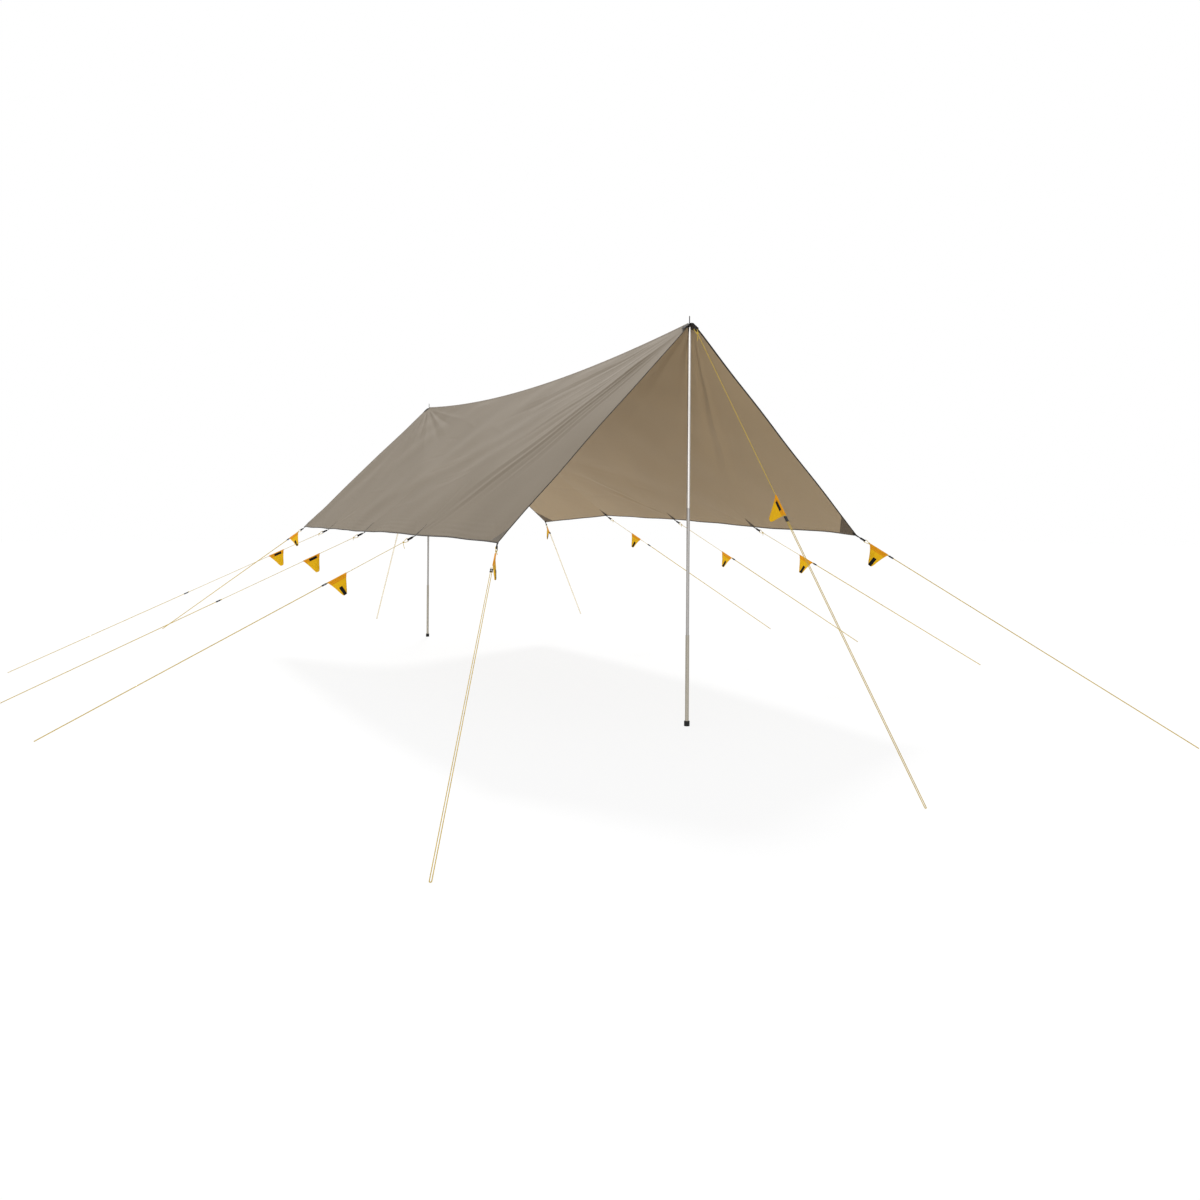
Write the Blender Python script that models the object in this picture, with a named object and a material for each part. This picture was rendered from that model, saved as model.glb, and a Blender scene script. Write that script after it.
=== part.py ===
# Camping tarp: a rectangular ridge canopy on two sectional poles, held out by twelve guy lines.
# Metres, +Z up, ground at z = 0. The ridge runs along Y, from the front pole (-Y) to the rear pole (+Y).

import math

import bmesh
import bpy
from mathutils import Matrix, Vector

# Canopy
RIDGE_SPAN = 4.50             # pole axis to pole axis
RIDGE_HEIGHT = 2.00           # ridge above the ground at the poles
RIDGE_SAG = 0.095             # the ridge hangs this much lower halfway
END_OVERHANG = 0.025          # cloth past each pole's axis
EDGE_RAKE = 0.020             # corners stand this far inside the ridge ends
CLOTH_THICKNESS = 0.0015      # stand-in for coated cloth, thicker than the real weave
HEM_SCALLOP = 0.003           # the hem draws in this much between two tie-outs
CREASE_HEIGHT = 0.014         # folds that run from the ridge ends to the hem's tie-outs
CREASE_WIDTH = 0.110
SMOOTH_AT_RIDGE = 0.17        # share of the slope over which the folds fade in from the ridge
RIDGE_SEAM = 0.0029           # between the two panels' edges, under the ridge tape
CELLS_ALONG = 24
CELLS_ACROSS = 12

# Tie-outs of each hem from the front corner to the rear corner: distance out from the ridge, height
HEMS = {
    "left": [(1.005, 0.910), (1.070, 0.930), (1.085, 0.935), (1.085, 0.945), (1.060, 0.950)],
    "right": [(1.045, 0.945), (1.135, 0.985), (1.195, 1.030), (1.190, 1.060), (1.110, 1.005)],
}
STATIONS = ["front_corner", "front", "middle", "rear", "rear_corner"]
OUTWARD = {"left": -1, "right": 1}
END_SIGN = {"front": -1, "rear": 1}

# Sewn-on trim
BINDING_WIDTH = 0.010
BINDING_PLY = 0.00075         # the binding is folded over both faces of the cloth
TAPE_HALF_WIDTH = 0.010       # tape over the ridge seam
TAPE_THICKNESS = 0.0010
PATCH_THICKNESS = 0.0010
HEM_PATCH_HALF_BASE = 0.030
HEM_PATCH_DEPTH = 0.090
CORNER_PATCH_LEG = 0.100
SEWN_IN = 0.0004              # patches and loops are stitched this deep into what carries them
NOTCH_HALF_WIDTH = 0.014      # the cloth is cut away round each pole head
NOTCH_BEFORE_POLE = 0.014
CAP_LEG = 0.050               # webbing cap over each ridge end, down both slopes
CAP_THICKNESS = 0.0020

# Eyelets in the caps
SPIKE_PLAY = 0.0010           # between a pole's spike and its eyelet
EYELET_BARREL_WALL = 0.0015
EYELET_FLANGE_WIDTH = 0.0035
EYELET_FLANGE = 0.0008

# Webbing loops at the tie-outs
WEBBING_THICKNESS = 0.0013
WEBBING_WIDTH = 0.012
WEBBING_SLIT = 0.0003         # between the loop's two layers
LOOP_REACH = 0.050            # from the hem to the middle of the loop's eye
LOOP_TONGUE = 0.028           # sewn length under the hem
LOOP_BEND_OUT = 0.003         # the loop bends down to its line this far past the hem
LOOP_EYE_ANGLES = (105, 63, 21, -21, -63, -105)

# Guy lines, with each line's peg place, the start of its pocket and the middle of its slider,
# both measured along the line from the hem
CORD_DIAMETER = 0.003
GUY_LINES = {
    "left_front_corner": (-1.82, -3.98, 0.104, 0.264),
    "left_front": (-2.90, -1.41, 0.439, 0.572),
    "left_middle": (-3.11, -0.20, 0.320, 0.990),
    "left_rear": (-3.15, 1.10, 0.356, 1.080),
    "left_rear_corner": (-2.06, 3.78, 0.085, 0.218),
    "right_front_corner": (1.86, -3.65, 0.085, 0.218),
    "right_front": (3.11, -1.07, 0.406, 0.539),
    "right_middle": (3.26, 0.48, 0.545, 0.678),
    "right_rear": (3.21, 1.71, 0.318, 0.540),
    "right_rear_corner": (2.21, 3.89, 0.085, 0.218),
    "front_ridge": (0.0, -3.94, 1.130, 1.263),
    "rear_ridge": (0.0, 4.09, 1.130, 1.263),
}
STRAND_SPACING = 0.007        # the two strands from the slider round the peg
KNOT_FROM_EYE = 0.028         # where the line's eye is tied off
EYE_CLEAR_OF_LOOP = 0.003     # the eye's sides stand this far off the webbing's edges
BIGHT_STEPS = 6

# Pockets that hang on the lines
POCKET_MOUTH = 0.112
POCKET_END = 0.027
POCKET_DEPTH = 0.100
POCKET_HALF_THICKNESS = 0.0045
POCKET_HEM_THICKNESS = 0.0013
SLEEVE_WALL = 0.0013
SLEEVE_ANGLES = (-50, 5, 60, 120, 175, 230)
# Down the mouth's slant, from its ends to its middle: share of the depth, share of the fullness
POCKET_SLANT = [(0.10, 0.15), (0.52, 0.80), (1.00, 1.00)]
# Down the bag's face: share of the depth below the sleeve, share of the fullness
POCKET_FACE = [(0.25, 0.55), (0.62, 1.00)]

# Line sliders
SLIDER_LENGTH = 0.028
SLIDER_THICKNESS = 0.008
SLIDER_SIDE_WALL = 0.0024
SLIDER_CHAMFER = 0.0012
SLIDER_TAIL = 0.0015          # the tied strand stands this far out of the slider

# Poles: an adjustable outer foot tube and an inner pole in two sections
INNER_TUBE_RADIUS = 0.0082
TUBE_WALL = 0.0008
TUBE_PLAY = 0.0005            # between the inner pole and the foot tube
FOOT_TUBE_TOP = 0.450
SECTION_JOINT = 1.080
SPIGOT_LENGTH = 0.060
HOLE_COUNT = 5
HOLE_SPACING = 0.033
LOWEST_HOLE = 0.034
TUBE_BELOW_BUTTON = 0.013
BUTTON_RADIUS = 0.0028
BUTTON_PLAY = 0.0005          # between the button and its hole
BUTTON_STANDS_OUT = 0.0025
BUTTON_ROUNDING = 0.0010
SPRING_STRIP = 0.0005
SPRING_WIDTH = 0.006
SPRING_HEIGHT = 0.046
SPRING_CROWN = 0.006          # height of the strip's folded crown
COLLAR_HEIGHT = 0.012
PLUG_LENGTH = 0.030
SPIKE_RADIUS = 0.0025
SPIKE_HEIGHT = 0.045
SPIKE_TAPER = 0.005
SPIKE_END_RADIUS = 0.001
FOOT_RADIUS = 0.014
FOOT_HEIGHT = 0.026
FOOT_FLOOR = 0.004
FOOT_CHAMFER = 0.0012

GAP = 0.0003                  # between faces that touch
SLIP = 0.0004                 # between faces that slide
TUBE_SIDES = 20
SMALL_SIDES = 12
BORE_SIDES = 8

CORD_RADIUS = CORD_DIAMETER / 2
OUTER_TUBE_RADIUS = INNER_TUBE_RADIUS + TUBE_PLAY + TUBE_WALL
HOLE_RADIUS = BUTTON_RADIUS + BUTTON_PLAY
EYELET_BORE_RADIUS = SPIKE_RADIUS + SPIKE_PLAY
EYELET_BARREL_RADIUS = EYELET_BORE_RADIUS + EYELET_BARREL_WALL
EYELET_FLANGE_RADIUS = EYELET_BARREL_RADIUS + EYELET_FLANGE_WIDTH
HALF_SPAN = RIDGE_SPAN / 2
HALF_LENGTH = HALF_SPAN + END_OVERHANG
BINDING_THICKNESS = CLOTH_THICKNESS + 2 * BINDING_PLY
PATCH_TOP = SEWN_IN - BINDING_THICKNESS / 2       # under the cloth, into the binding's lower ply


def clear_scene():
    for thing in list(bpy.data.objects):
        bpy.data.objects.remove(thing, do_unlink=True)


def srgb(red, green, blue):
    # Eight-bit colour to the linear values that a shader takes
    def linear(value):
        value /= 255
        return value / 12.92 if value <= 0.04045 else ((value + 0.055) / 1.055) ** 2.4
    return (linear(red), linear(green), linear(blue), 1)


# Name of finish: colour, roughness, metallic
FINISHES = {
    "canopy_cloth": (srgb(146, 137, 123), 0.75, 0),
    "binding_webbing": (srgb(52, 48, 44), 0.85, 0),
    "steel_eyelet": (srgb(150, 150, 148), 0.35, 1),
    "pole_aluminium": (srgb(168, 166, 160), 0.35, 1),
    "black_plastic": (srgb(24, 24, 24), 0.5, 0),
    "foot_rubber": (srgb(16, 16, 16), 0.85, 0),
    "spring_steel": (srgb(175, 175, 175), 0.3, 1),
    "cord_beige": (srgb(200, 178, 118), 0.8, 0),
    "pocket_cloth": (srgb(226, 168, 20), 0.7, 0),
}


def material(name):
    found = bpy.data.materials.get(name)
    if found:
        return found
    made = bpy.data.materials.new(name)
    made.use_nodes = True
    shader = made.node_tree.nodes["Principled BSDF"]
    colour, roughness, metallic = FINISHES[name]
    shader.inputs["Base Color"].default_value = colour
    shader.inputs["Roughness"].default_value = roughness
    shader.inputs["Metallic"].default_value = metallic
    made.diffuse_color = colour
    return made


def place(name, data, finish, parent=None, matrix=None):
    # Put a mesh or curve into the scene as one named piece
    thing = bpy.data.objects.new(name, data)
    bpy.context.scene.collection.objects.link(thing)
    own = material(finish)
    if own.name not in data.materials:
        data.materials.append(own)
    thing.parent = parent
    if matrix is not None:
        thing.matrix_local = matrix
    return thing


def empty(name, parent=None, matrix=None):
    thing = bpy.data.objects.new(name, None)
    bpy.context.scene.collection.objects.link(thing)
    thing.parent = parent
    if matrix is not None:
        thing.matrix_local = matrix
    return thing


def finish_mesh(bm, name, smooth=False):
    bmesh.ops.recalc_face_normals(bm, faces=bm.faces)
    mesh = bpy.data.meshes.new(name)
    bm.to_mesh(mesh)
    bm.free()
    if smooth:
        mesh.shade_smooth()
        mesh.set_sharp_from_angle(angle=math.radians(40))
    return mesh


# Canopy surface: u runs from -1 at the front edge to 1 at the rear edge, v from 0 at the ridge to 1 at the hem

def ridge_point(u):
    y = u * HALF_LENGTH
    return Vector((0, y, RIDGE_HEIGHT - RIDGE_SAG * (1 - (y / HALF_SPAN) ** 2)))


def hem_point(side, u):
    # Point of the hem, with the scallop between tie-outs
    along = (u + 1) * 2
    first = min(int(along), 3)
    part = along - first
    out, height = (a + (b - a) * part for a, b in zip(HEMS[side][first], HEMS[side][first + 1]))
    point = Vector((OUTWARD[side] * out, u * (HALF_LENGTH - EDGE_RAKE), height))
    up_slope = (ridge_point(u) - point).normalized()
    return point + up_slope * HEM_SCALLOP * 4 * part * (1 - part)


def slope_length(side):
    return (hem_point(side, 0) - ridge_point(0)).length


def slope_normal(side, u):
    # Upward normal of the slope, along the straight line from ridge to hem
    step = 0.02
    low = max(u - step, -1)
    high = min(u + step, 1)
    down = hem_point(side, u) - ridge_point(u)
    along = (ridge_point(high) + hem_point(side, high)) - (ridge_point(low) + hem_point(side, low))
    normal = down.cross(along).normalized()
    return normal if normal.z > 0 else -normal


def crease(side, u, v):
    # Height of the folds that fan out from the ridge ends to the tie-outs between the corners
    width = slope_length(side)
    spot = Vector((u * HALF_LENGTH, v * width))
    height = 0
    for end in (-1, 1):
        for station in (-0.5, 0, 0.5):
            start = Vector((end * HALF_LENGTH, 0))
            run = Vector((station * HALF_LENGTH, width)) - start
            part = min(max((spot - start).dot(run) / run.length_squared, 0), 1)
            off = (spot - start - run * part).length
            height += CREASE_HEIGHT * math.sin(math.pi * part) ** 2 * math.exp(-(off / CREASE_WIDTH) ** 2)
    from_ridge = min(v / SMOOTH_AT_RIDGE, 1)    # the taped seam stays smooth
    return height * from_ridge ** 2


def canopy_point(side, u, v):
    return ridge_point(u).lerp(hem_point(side, u), v) + slope_normal(side, u) * crease(side, u, v)


def grid_lines(low, high, cells, *extra):
    # Even lines strictly between low and high, with the extra ones and both ends
    inner = [-1 + 2 * step / cells for step in range(cells + 1)]
    spots = sorted([low, high, *extra] + [spot for spot in inner if low < spot < high])
    return [spot for index, spot in enumerate(spots) if index == 0 or spot - spots[index - 1] > 1e-4]


def canopy_lines(side, inset):
    # Grid lines of a slope whose outer edges are drawn in by inset
    width = slope_length(side)
    end = 1 - inset / HALF_LENGTH
    notch_u = (HALF_SPAN - NOTCH_BEFORE_POLE) / HALF_LENGTH
    us = grid_lines(-end, end, CELLS_ALONG, -notch_u, notch_u)
    ridge_edge = RIDGE_SEAM / 2 / width
    notch_v = notch_line(side)
    hem_edge = 1 - inset / width
    across = [step / CELLS_ACROSS for step in range(1, CELLS_ACROSS) if step / CELLS_ACROSS < hem_edge]
    return us, [ridge_edge, notch_v] + across + [hem_edge], notch_u, notch_v


def notch_line(side):
    return NOTCH_HALF_WIDTH / HEMS[side][0][0]


def slope_grid(side, us, vs, keep):
    # Mid-surface of one slope as a triangulated sheet, with the cells that keep accepts
    bm = bmesh.new()
    rows = [[bm.verts.new(canopy_point(side, u, v)) for v in vs] for u in us]
    for i in range(len(us) - 1):
        for j in range(len(vs) - 1):
            if keep((us[i] + us[i + 1]) / 2, (vs[j] + vs[j + 1]) / 2):
                bm.faces.new((rows[i][j], rows[i + 1][j], rows[i + 1][j + 1], rows[i][j + 1]))
    bmesh.ops.delete(bm, geom=[vert for vert in bm.verts if not vert.link_faces], context="VERTS")
    bmesh.ops.triangulate(bm, faces=bm.faces, quad_method="FIXED")
    face_up(bm)
    return bm


def face_up(bm):
    bm.normal_update()
    bmesh.ops.reverse_faces(bm, faces=[face for face in bm.faces if face.normal.z < 0])
    bm.normal_update()


def thicken(sheet, low, high, target=None):
    # Closed shell between the distances low and high along the sheet's normals
    bm = target if target is not None else bmesh.new()
    upper = {}
    lower = {}
    for vert in sheet.verts:
        reach = vert.calc_shell_factor()
        upper[vert] = bm.verts.new(vert.co + vert.normal * high * reach)
        lower[vert] = bm.verts.new(vert.co + vert.normal * low * reach)
    for face in sheet.faces:
        bm.faces.new([upper[vert] for vert in face.verts])
        bm.faces.new([lower[vert] for vert in reversed(face.verts)])
        for loop in face.loops:
            if loop.edge.is_boundary:
                a = loop.vert
                b = loop.link_loop_next.vert
                bm.faces.new((upper[b], upper[a], lower[a], lower[b]))
    sheet.free()
    return bm


def add_panels(parent):
    for side in HEMS:
        us, vs, notch_u, notch_v = canopy_lines(side, BINDING_WIDTH + GAP)
        sheet = slope_grid(side, us, vs, lambda u, v: abs(u) < notch_u or v > notch_v)
        bm = thicken(sheet, -CLOTH_THICKNESS / 2, CLOTH_THICKNESS / 2)
        place(side + "_panel", finish_mesh(bm, side + "_panel"), "canopy_cloth", parent)


def add_binding(side, parent):
    # Folded tape round the three free edges of a slope, with the patches and loops sewn to it
    us, vs, notch_u, notch_v = canopy_lines(side, 0)
    inner_u = 1 - BINDING_WIDTH / HALF_LENGTH
    inner_v = 1 - BINDING_WIDTH / slope_length(side)
    us = sorted(us + [-inner_u, inner_u])
    vs = sorted(vs + [inner_v])
    ring = slope_grid(side, us, vs, lambda u, v: v > notch_v and (abs(u) > inner_u or v > inner_v))
    bm = thicken(ring, -BINDING_THICKNESS / 2, BINDING_THICKNESS / 2)
    node = side + "_edge_binding"
    binding = place(node, finish_mesh(bm, node), "binding_webbing", parent)
    patches = bmesh.new()
    loops = bmesh.new()
    for index, station in enumerate(STATIONS):
        thicken(patch_sheet(side, index), PATCH_TOP - PATCH_THICKNESS, PATCH_TOP, patches)
        add_loop(loops, side + "_" + station)
    cut_with(binding, side + "_patch_shapes", patches, "UNION")
    cut_with(binding, side + "_loop_shapes", loops, "UNION")


def add_ridge_tape(parent):
    # Tape over the seam that joins the two slopes, from cap to cap
    notch_u = (HALF_SPAN - NOTCH_BEFORE_POLE) / HALF_LENGTH
    lift = CLOTH_THICKNESS / 2 + GAP + TAPE_THICKNESS / 2
    bm = bmesh.new()
    rows = []
    for u in grid_lines(-notch_u, notch_u, CELLS_ALONG):
        normals = {side: slope_normal(side, u) for side in HEMS}
        crest = ridge_point(u) + Vector((0, 0, lift / min(normal.z for normal in normals.values())))
        edges = {side: canopy_point(side, u, TAPE_HALF_WIDTH / slope_length(side)) + normals[side] * lift
                 for side in HEMS}
        rows.append([bm.verts.new(spot) for spot in (edges["left"], crest, edges["right"])])
    for a, b in zip(rows, rows[1:]):
        bm.faces.new((a[0], b[0], b[1], a[1]))
        bm.faces.new((a[1], b[1], b[2], a[2]))
    face_up(bm)
    bm = thicken(bm, -TAPE_THICKNESS / 2, TAPE_THICKNESS / 2)
    place("ridge_tape", finish_mesh(bm, "ridge_tape"), "binding_webbing", parent)


def trimmed(bm, point, normal):
    # Cut away what lies on the normal's side of a plane
    geom = bm.verts[:] + bm.edges[:] + bm.faces[:]
    bmesh.ops.bisect_plane(bm, geom=geom, plane_co=point, plane_no=normal, clear_outer=True)


def station_u(index):
    return -1 + index / 2


def patch_sheet(side, index):
    # Triangle of the slope behind one tie-out, cut from the same facets as the cloth
    us, vs, _, _ = canopy_lines(side, 0)
    station = station_u(index)
    reach = max(CORNER_PATCH_LEG, HEM_PATCH_HALF_BASE, HEM_PATCH_DEPTH)
    beside = reach / HALF_LENGTH + 2 / CELLS_ALONG
    above = 1 - reach / slope_length(side) - 1 / CELLS_ACROSS
    sheet = slope_grid(side, [u for u in us if abs(u - station) < beside], [v for v in vs if v > above],
                       lambda u, v: True)
    tie = hem_point(side, station)
    step = 1 / CELLS_ALONG
    hem_run = hem_point(side, min(station + step, 1)) - hem_point(side, max(station - step, -1))
    hem_run.z = 0
    hem_run.normalize()
    inward = Vector((-OUTWARD[side] * slope_normal(side, 0).z, 0, 0))    # up the slope, seen from above
    if abs(station) < 1:
        apex = tie + inward * HEM_PATCH_DEPTH
        bases = [tie + hem_run * way * HEM_PATCH_HALF_BASE for way in (-1, 1)]
    else:
        apex = tie + inward * CORNER_PATCH_LEG
        bases = [tie - hem_run * station * CORNER_PATCH_LEG]
    for base in bases:
        cut = (base - apex).cross(Vector((0, 0, 1))).normalized()
        trimmed(sheet, apex, cut if cut.dot(tie - apex) < 0 else -cut)
    face_up(sheet)
    return sheet


# Webbing caps, eyelets and pole heads share these levels

def cap_section():
    # Mid-line of the cap across the ridge, level along Y: left leg, two shoulders, right leg
    lift = BINDING_THICKNESS / 2 + GAP + CAP_THICKNESS / 2
    shoulders = {}
    legs = {}
    for side in HEMS:
        normal = max((slope_normal(side, end) for end in (-1, 1)), key=lambda n: n.z)
        shoulders[side] = max((canopy_point(side, end, notch_line(side)) + normal * lift for end in (-1, 1)),
                              key=lambda spot: spot.z)
        leg_v = CAP_LEG / slope_length(side)
        legs[side] = max((canopy_point(side, end, leg_v) + normal * lift for end in (-1, 1)),
                         key=lambda spot: spot.z)
    level = max(spot.z for spot in shoulders.values())
    half = NOTCH_HALF_WIDTH + lift
    flat = [(-half, level), (half, level)]
    return [(legs["left"].x, legs["left"].z), *flat, (legs["right"].x, legs["right"].z)], level


def cap_levels():
    # Underside and top of the cap's flat part, and the pole's shoulder below its eyelet
    _, level = cap_section()
    under = level - CAP_THICKNESS / 2
    top = level + CAP_THICKNESS / 2
    shoulder = under - GAP - EYELET_FLANGE - GAP
    return under, top, shoulder


def add_cap(end, parent):
    section, _ = cap_section()
    sheet = bmesh.new()
    near = END_SIGN[end] * (HALF_SPAN - NOTCH_BEFORE_POLE + GAP * 2)
    far = END_SIGN[end] * HALF_LENGTH
    rows = [[sheet.verts.new((x, y, z)) for x, z in section] for y in (near, far)]
    for i in range(len(section) - 1):
        sheet.faces.new((rows[0][i], rows[1][i], rows[1][i + 1], rows[0][i + 1]))
    face_up(sheet)
    bm = thicken(sheet, -CAP_THICKNESS / 2, CAP_THICKNESS / 2)
    node = end + "_ridge_cap"
    cap = place(node, finish_mesh(bm, node), "binding_webbing", parent)
    hole = bmesh.new()
    add_cylinder(hole, Vector((0, END_SIGN[end] * HALF_SPAN, RIDGE_HEIGHT)), EYELET_BARREL_RADIUS + SLIP,
                 CAP_LEG * 2)
    cut_with(cap, node + "_hole_cutter", hole)


def add_cylinder(bm, centre, radius, depth, axis="Z", sides=SMALL_SIDES):
    turn = Matrix.Rotation(math.radians(90), 4, "X") if axis == "Y" else Matrix.Identity(4)
    bmesh.ops.create_cone(bm, cap_ends=True, segments=sides, radius1=radius, radius2=radius, depth=depth,
                          matrix=Matrix.Translation(centre) @ turn)


def cut_with(thing, name, bm, operation="DIFFERENCE"):
    cutter = place(name, finish_mesh(bm, name), thing.active_material.name, thing.parent)
    cutter.hide_render = True
    cutter.display_type = "WIRE"
    boolean = thing.modifiers.new(name, "BOOLEAN")
    boolean.operation = operation
    boolean.solver = "EXACT"
    boolean.object = cutter


def lathe(bm, profile, sides, centre=Vector((0, 0, 0))):
    # Turn a closed profile of (radius, z) about a vertical axis; radius 0 lies on the axis
    rings = []
    for radius, z in profile:
        if radius == 0:
            rings.append([bm.verts.new(centre + Vector((0, 0, z)))])
            continue
        turns = [2 * math.pi * step / sides for step in range(sides)]
        rings.append([bm.verts.new(centre + Vector((radius * math.cos(t), radius * math.sin(t), z)))
                      for t in turns])
    for a, b in zip(rings, rings[1:] + rings[:1]):
        if len(a) == 1 and len(b) == 1:
            continue
        for step in range(sides):
            after = (step + 1) % sides
            corners = [a[step % len(a)], b[step % len(b)], b[after % len(b)], a[after % len(a)]]
            bm.faces.new(list(dict.fromkeys(corners)))


def add_eyelet(end, parent):
    under, top, _ = cap_levels()
    low = under - GAP - EYELET_FLANGE
    high = top + GAP + EYELET_FLANGE
    profile = [(EYELET_BORE_RADIUS, low), (EYELET_FLANGE_RADIUS, low),
               (EYELET_FLANGE_RADIUS, low + EYELET_FLANGE), (EYELET_BARREL_RADIUS, low + EYELET_FLANGE),
               (EYELET_BARREL_RADIUS, high - EYELET_FLANGE), (EYELET_FLANGE_RADIUS, high - EYELET_FLANGE),
               (EYELET_FLANGE_RADIUS, high), (EYELET_BORE_RADIUS, high)]
    bm = bmesh.new()
    lathe(bm, profile, SMALL_SIDES, Vector((0, END_SIGN[end] * HALF_SPAN, 0)))
    node = end + "_eyelet"
    place(node, finish_mesh(bm, node, smooth=True), "steel_eyelet", parent)


# Tie-out hardware

EYE_MID_RADIUS = CORD_RADIUS + GAP + WEBBING_THICKNESS / 2
LAYER_OFFSET = (WEBBING_THICKNESS + WEBBING_SLIT) / 2
HEM_SEAT = PATCH_TOP - PATCH_THICKNESS + SEWN_IN - LAYER_OFFSET - WEBBING_THICKNESS / 2


def tie_out(name):
    # Hem or ridge-end point, its surface normal, the seat of the loop and the sewn length
    if name.endswith("ridge"):
        end = END_SIGN[name.split("_")[0]]
        _, top, _ = cap_levels()
        seat = GAP + LAYER_OFFSET + WEBBING_THICKNESS / 2
        sewn = END_OVERHANG - EYELET_FLANGE_RADIUS - 2 * GAP
        return Vector((0, end * HALF_LENGTH, top)), Vector((0, 0, 1)), seat, sewn
    side, station = name.split("_", 1)
    u = station_u(STATIONS.index(station))
    return hem_point(side, u), slope_normal(side, u), HEM_SEAT, LOOP_TONGUE


def line_frame(name):
    # Where one guy line runs: bend and eye of its loop, direction, and the axes of loop and strands
    point, normal, seat, sewn = tie_out(name)
    peg_x, peg_y, _, _ = GUY_LINES[name]
    peg = Vector((peg_x, peg_y, CORD_RADIUS + GAP))
    direction = (peg - point).normalized()
    for _ in range(5):
        outward = (direction - normal * direction.dot(normal)).normalized()
        bend = point + normal * seat + outward * LOOP_BEND_OUT
        eye = bend + direction * (LOOP_REACH - LOOP_BEND_OUT)
        direction = (peg - eye).normalized()
    across = normal.cross(direction).normalized()
    level = direction.cross(Vector((0, 0, 1))).normalized()
    return {"bend": bend, "eye": eye, "peg": peg, "direction": direction, "outward": outward,
            "normal": normal, "across": across, "level": level, "up": level.cross(direction),
            "sewn": sewn, "length": (peg - eye).length}


def ribbon(bm, path, thickness, width, axis):
    # Strip of webbing or steel along a path of points that lie in a plane with the given normal
    left = []
    right = []
    for index, spot in enumerate(path):
        before = (spot - path[max(index - 1, 0)])
        after = (path[min(index + 1, len(path) - 1)] - spot)
        before = before.normalized() if before.length > 0 else after.normalized()
        after = after.normalized() if after.length > 0 else before
        run = (before + after).normalized()
        aside = axis.cross(run).normalized() * thickness / 2 / max(run.dot(before), 0.5)
        left.append(spot + aside)
        right.append(spot - aside)
    outline = left + right[::-1]
    count = len(path)
    near = [bm.verts.new(spot - axis * width / 2) for spot in outline]
    far = [bm.verts.new(spot + axis * width / 2) for spot in outline]
    for i in range(len(outline)):
        j = (i + 1) % len(outline)
        bm.faces.new((near[i], near[j], far[j], far[i]))
    for ring in (near, far):
        for i in range(count - 1):
            bm.faces.new((ring[i], ring[i + 1], ring[-2 - i], ring[-1 - i]))


def add_loop(bm, name):
    # Folded webbing: two layers under the hem, an eye round the cord at the far end
    frame = line_frame(name)
    along = frame["direction"]
    tip_up = along.cross(frame["across"])
    if tip_up.dot(frame["normal"]) < 0:
        tip_up = -tip_up
    root = frame["bend"] - frame["outward"] * (frame["sewn"] + LOOP_BEND_OUT)
    throat = frame["eye"] - along * EYE_MID_RADIUS * 3
    layers = []
    for way in (1, -1):
        offset = LAYER_OFFSET * way
        layers.append([root + frame["normal"] * offset,
                       frame["bend"] + (frame["normal"] + tip_up) * offset / 2,
                       throat + tip_up * offset])
    turns = [math.radians(angle) for angle in LOOP_EYE_ANGLES]
    arc = [frame["eye"] + (along * math.cos(t) + tip_up * math.sin(t)) * EYE_MID_RADIUS for t in turns]
    ribbon(bm, layers[0] + arc + layers[1][::-1], WEBBING_THICKNESS, WEBBING_WIDTH, frame["across"])


def add_ridge_loop(end, parent):
    bm = bmesh.new()
    add_loop(bm, end + "_ridge")
    node = end + "_ridge_loop"
    place(node, finish_mesh(bm, node), "binding_webbing", parent)


def eye_route():
    # The line's eye in (along, across): in through the webbing, round, and back to the line's axis
    half = WEBBING_WIDTH / 2
    side = half + EYE_CLEAR_OF_LOOP
    bend = EYE_CLEAR_OF_LOOP + CORD_RADIUS
    tied = KNOT_FROM_EYE
    back = [(0, half), (bend * 0.2, side * 0.95), (bend, side)]
    going = [(along, -across) for along, across in reversed(back)]
    tail = [(tied, -CORD_DIAMETER * 1.25), (tied * 0.7, -side * 0.65), (tied * 0.4, -side * 0.9)]
    away = [(tied * 0.4, side * 0.85), (tied * 0.7, side * 0.45), (tied, side * 0.15), (tied * 1.3, 0)]
    return tail + going + back + away


def guy_line_points(name):
    # Cord from its tied eye down to the peg, round it, and back up to the slider
    frame = line_frame(name)
    _, _, _, slider_at = GUY_LINES[name]
    eye, along, level = frame["eye"], frame["direction"], frame["level"]
    points = [eye + along * a + frame["across"] * b for a, b in eye_route()]
    radius = STRAND_SPACING / 2
    turn_at = frame["length"] - radius
    for step in range(BIGHT_STEPS + 1):
        turn = math.pi * (step / BIGHT_STEPS - 0.5)
        points.append(eye + along * (turn_at + radius * math.cos(turn)) + level * radius * (1 + math.sin(turn)))
    tail = slider_at - LOOP_REACH - SLIDER_LENGTH / 2 - SLIDER_TAIL
    points.append(eye + along * tail + level * STRAND_SPACING)
    return points


def add_guy_line(name, parent):
    node = "guy_line_" + name
    curve = bpy.data.curves.new(node, "CURVE")
    curve.dimensions = "3D"
    curve.bevel_depth = CORD_RADIUS
    curve.bevel_resolution = 2
    curve.use_fill_caps = True
    points = guy_line_points(name)
    spline = curve.splines.new("POLY")
    spline.points.add(len(points) - 1)
    for slot, spot in zip(spline.points, points):
        slot.co = (*spot, 1)
    place(node, curve, "cord_beige", parent)


def line_matrix(name, from_hem):
    # Frame on the line's axis: X down the line, Z up from it
    frame = line_frame(name)
    axes = Matrix((frame["direction"], -frame["level"], frame["up"])).transposed()
    spot = frame["eye"] + frame["direction"] * (from_hem - LOOP_REACH)
    return Matrix.Translation(spot) @ axes.to_4x4()


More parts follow.
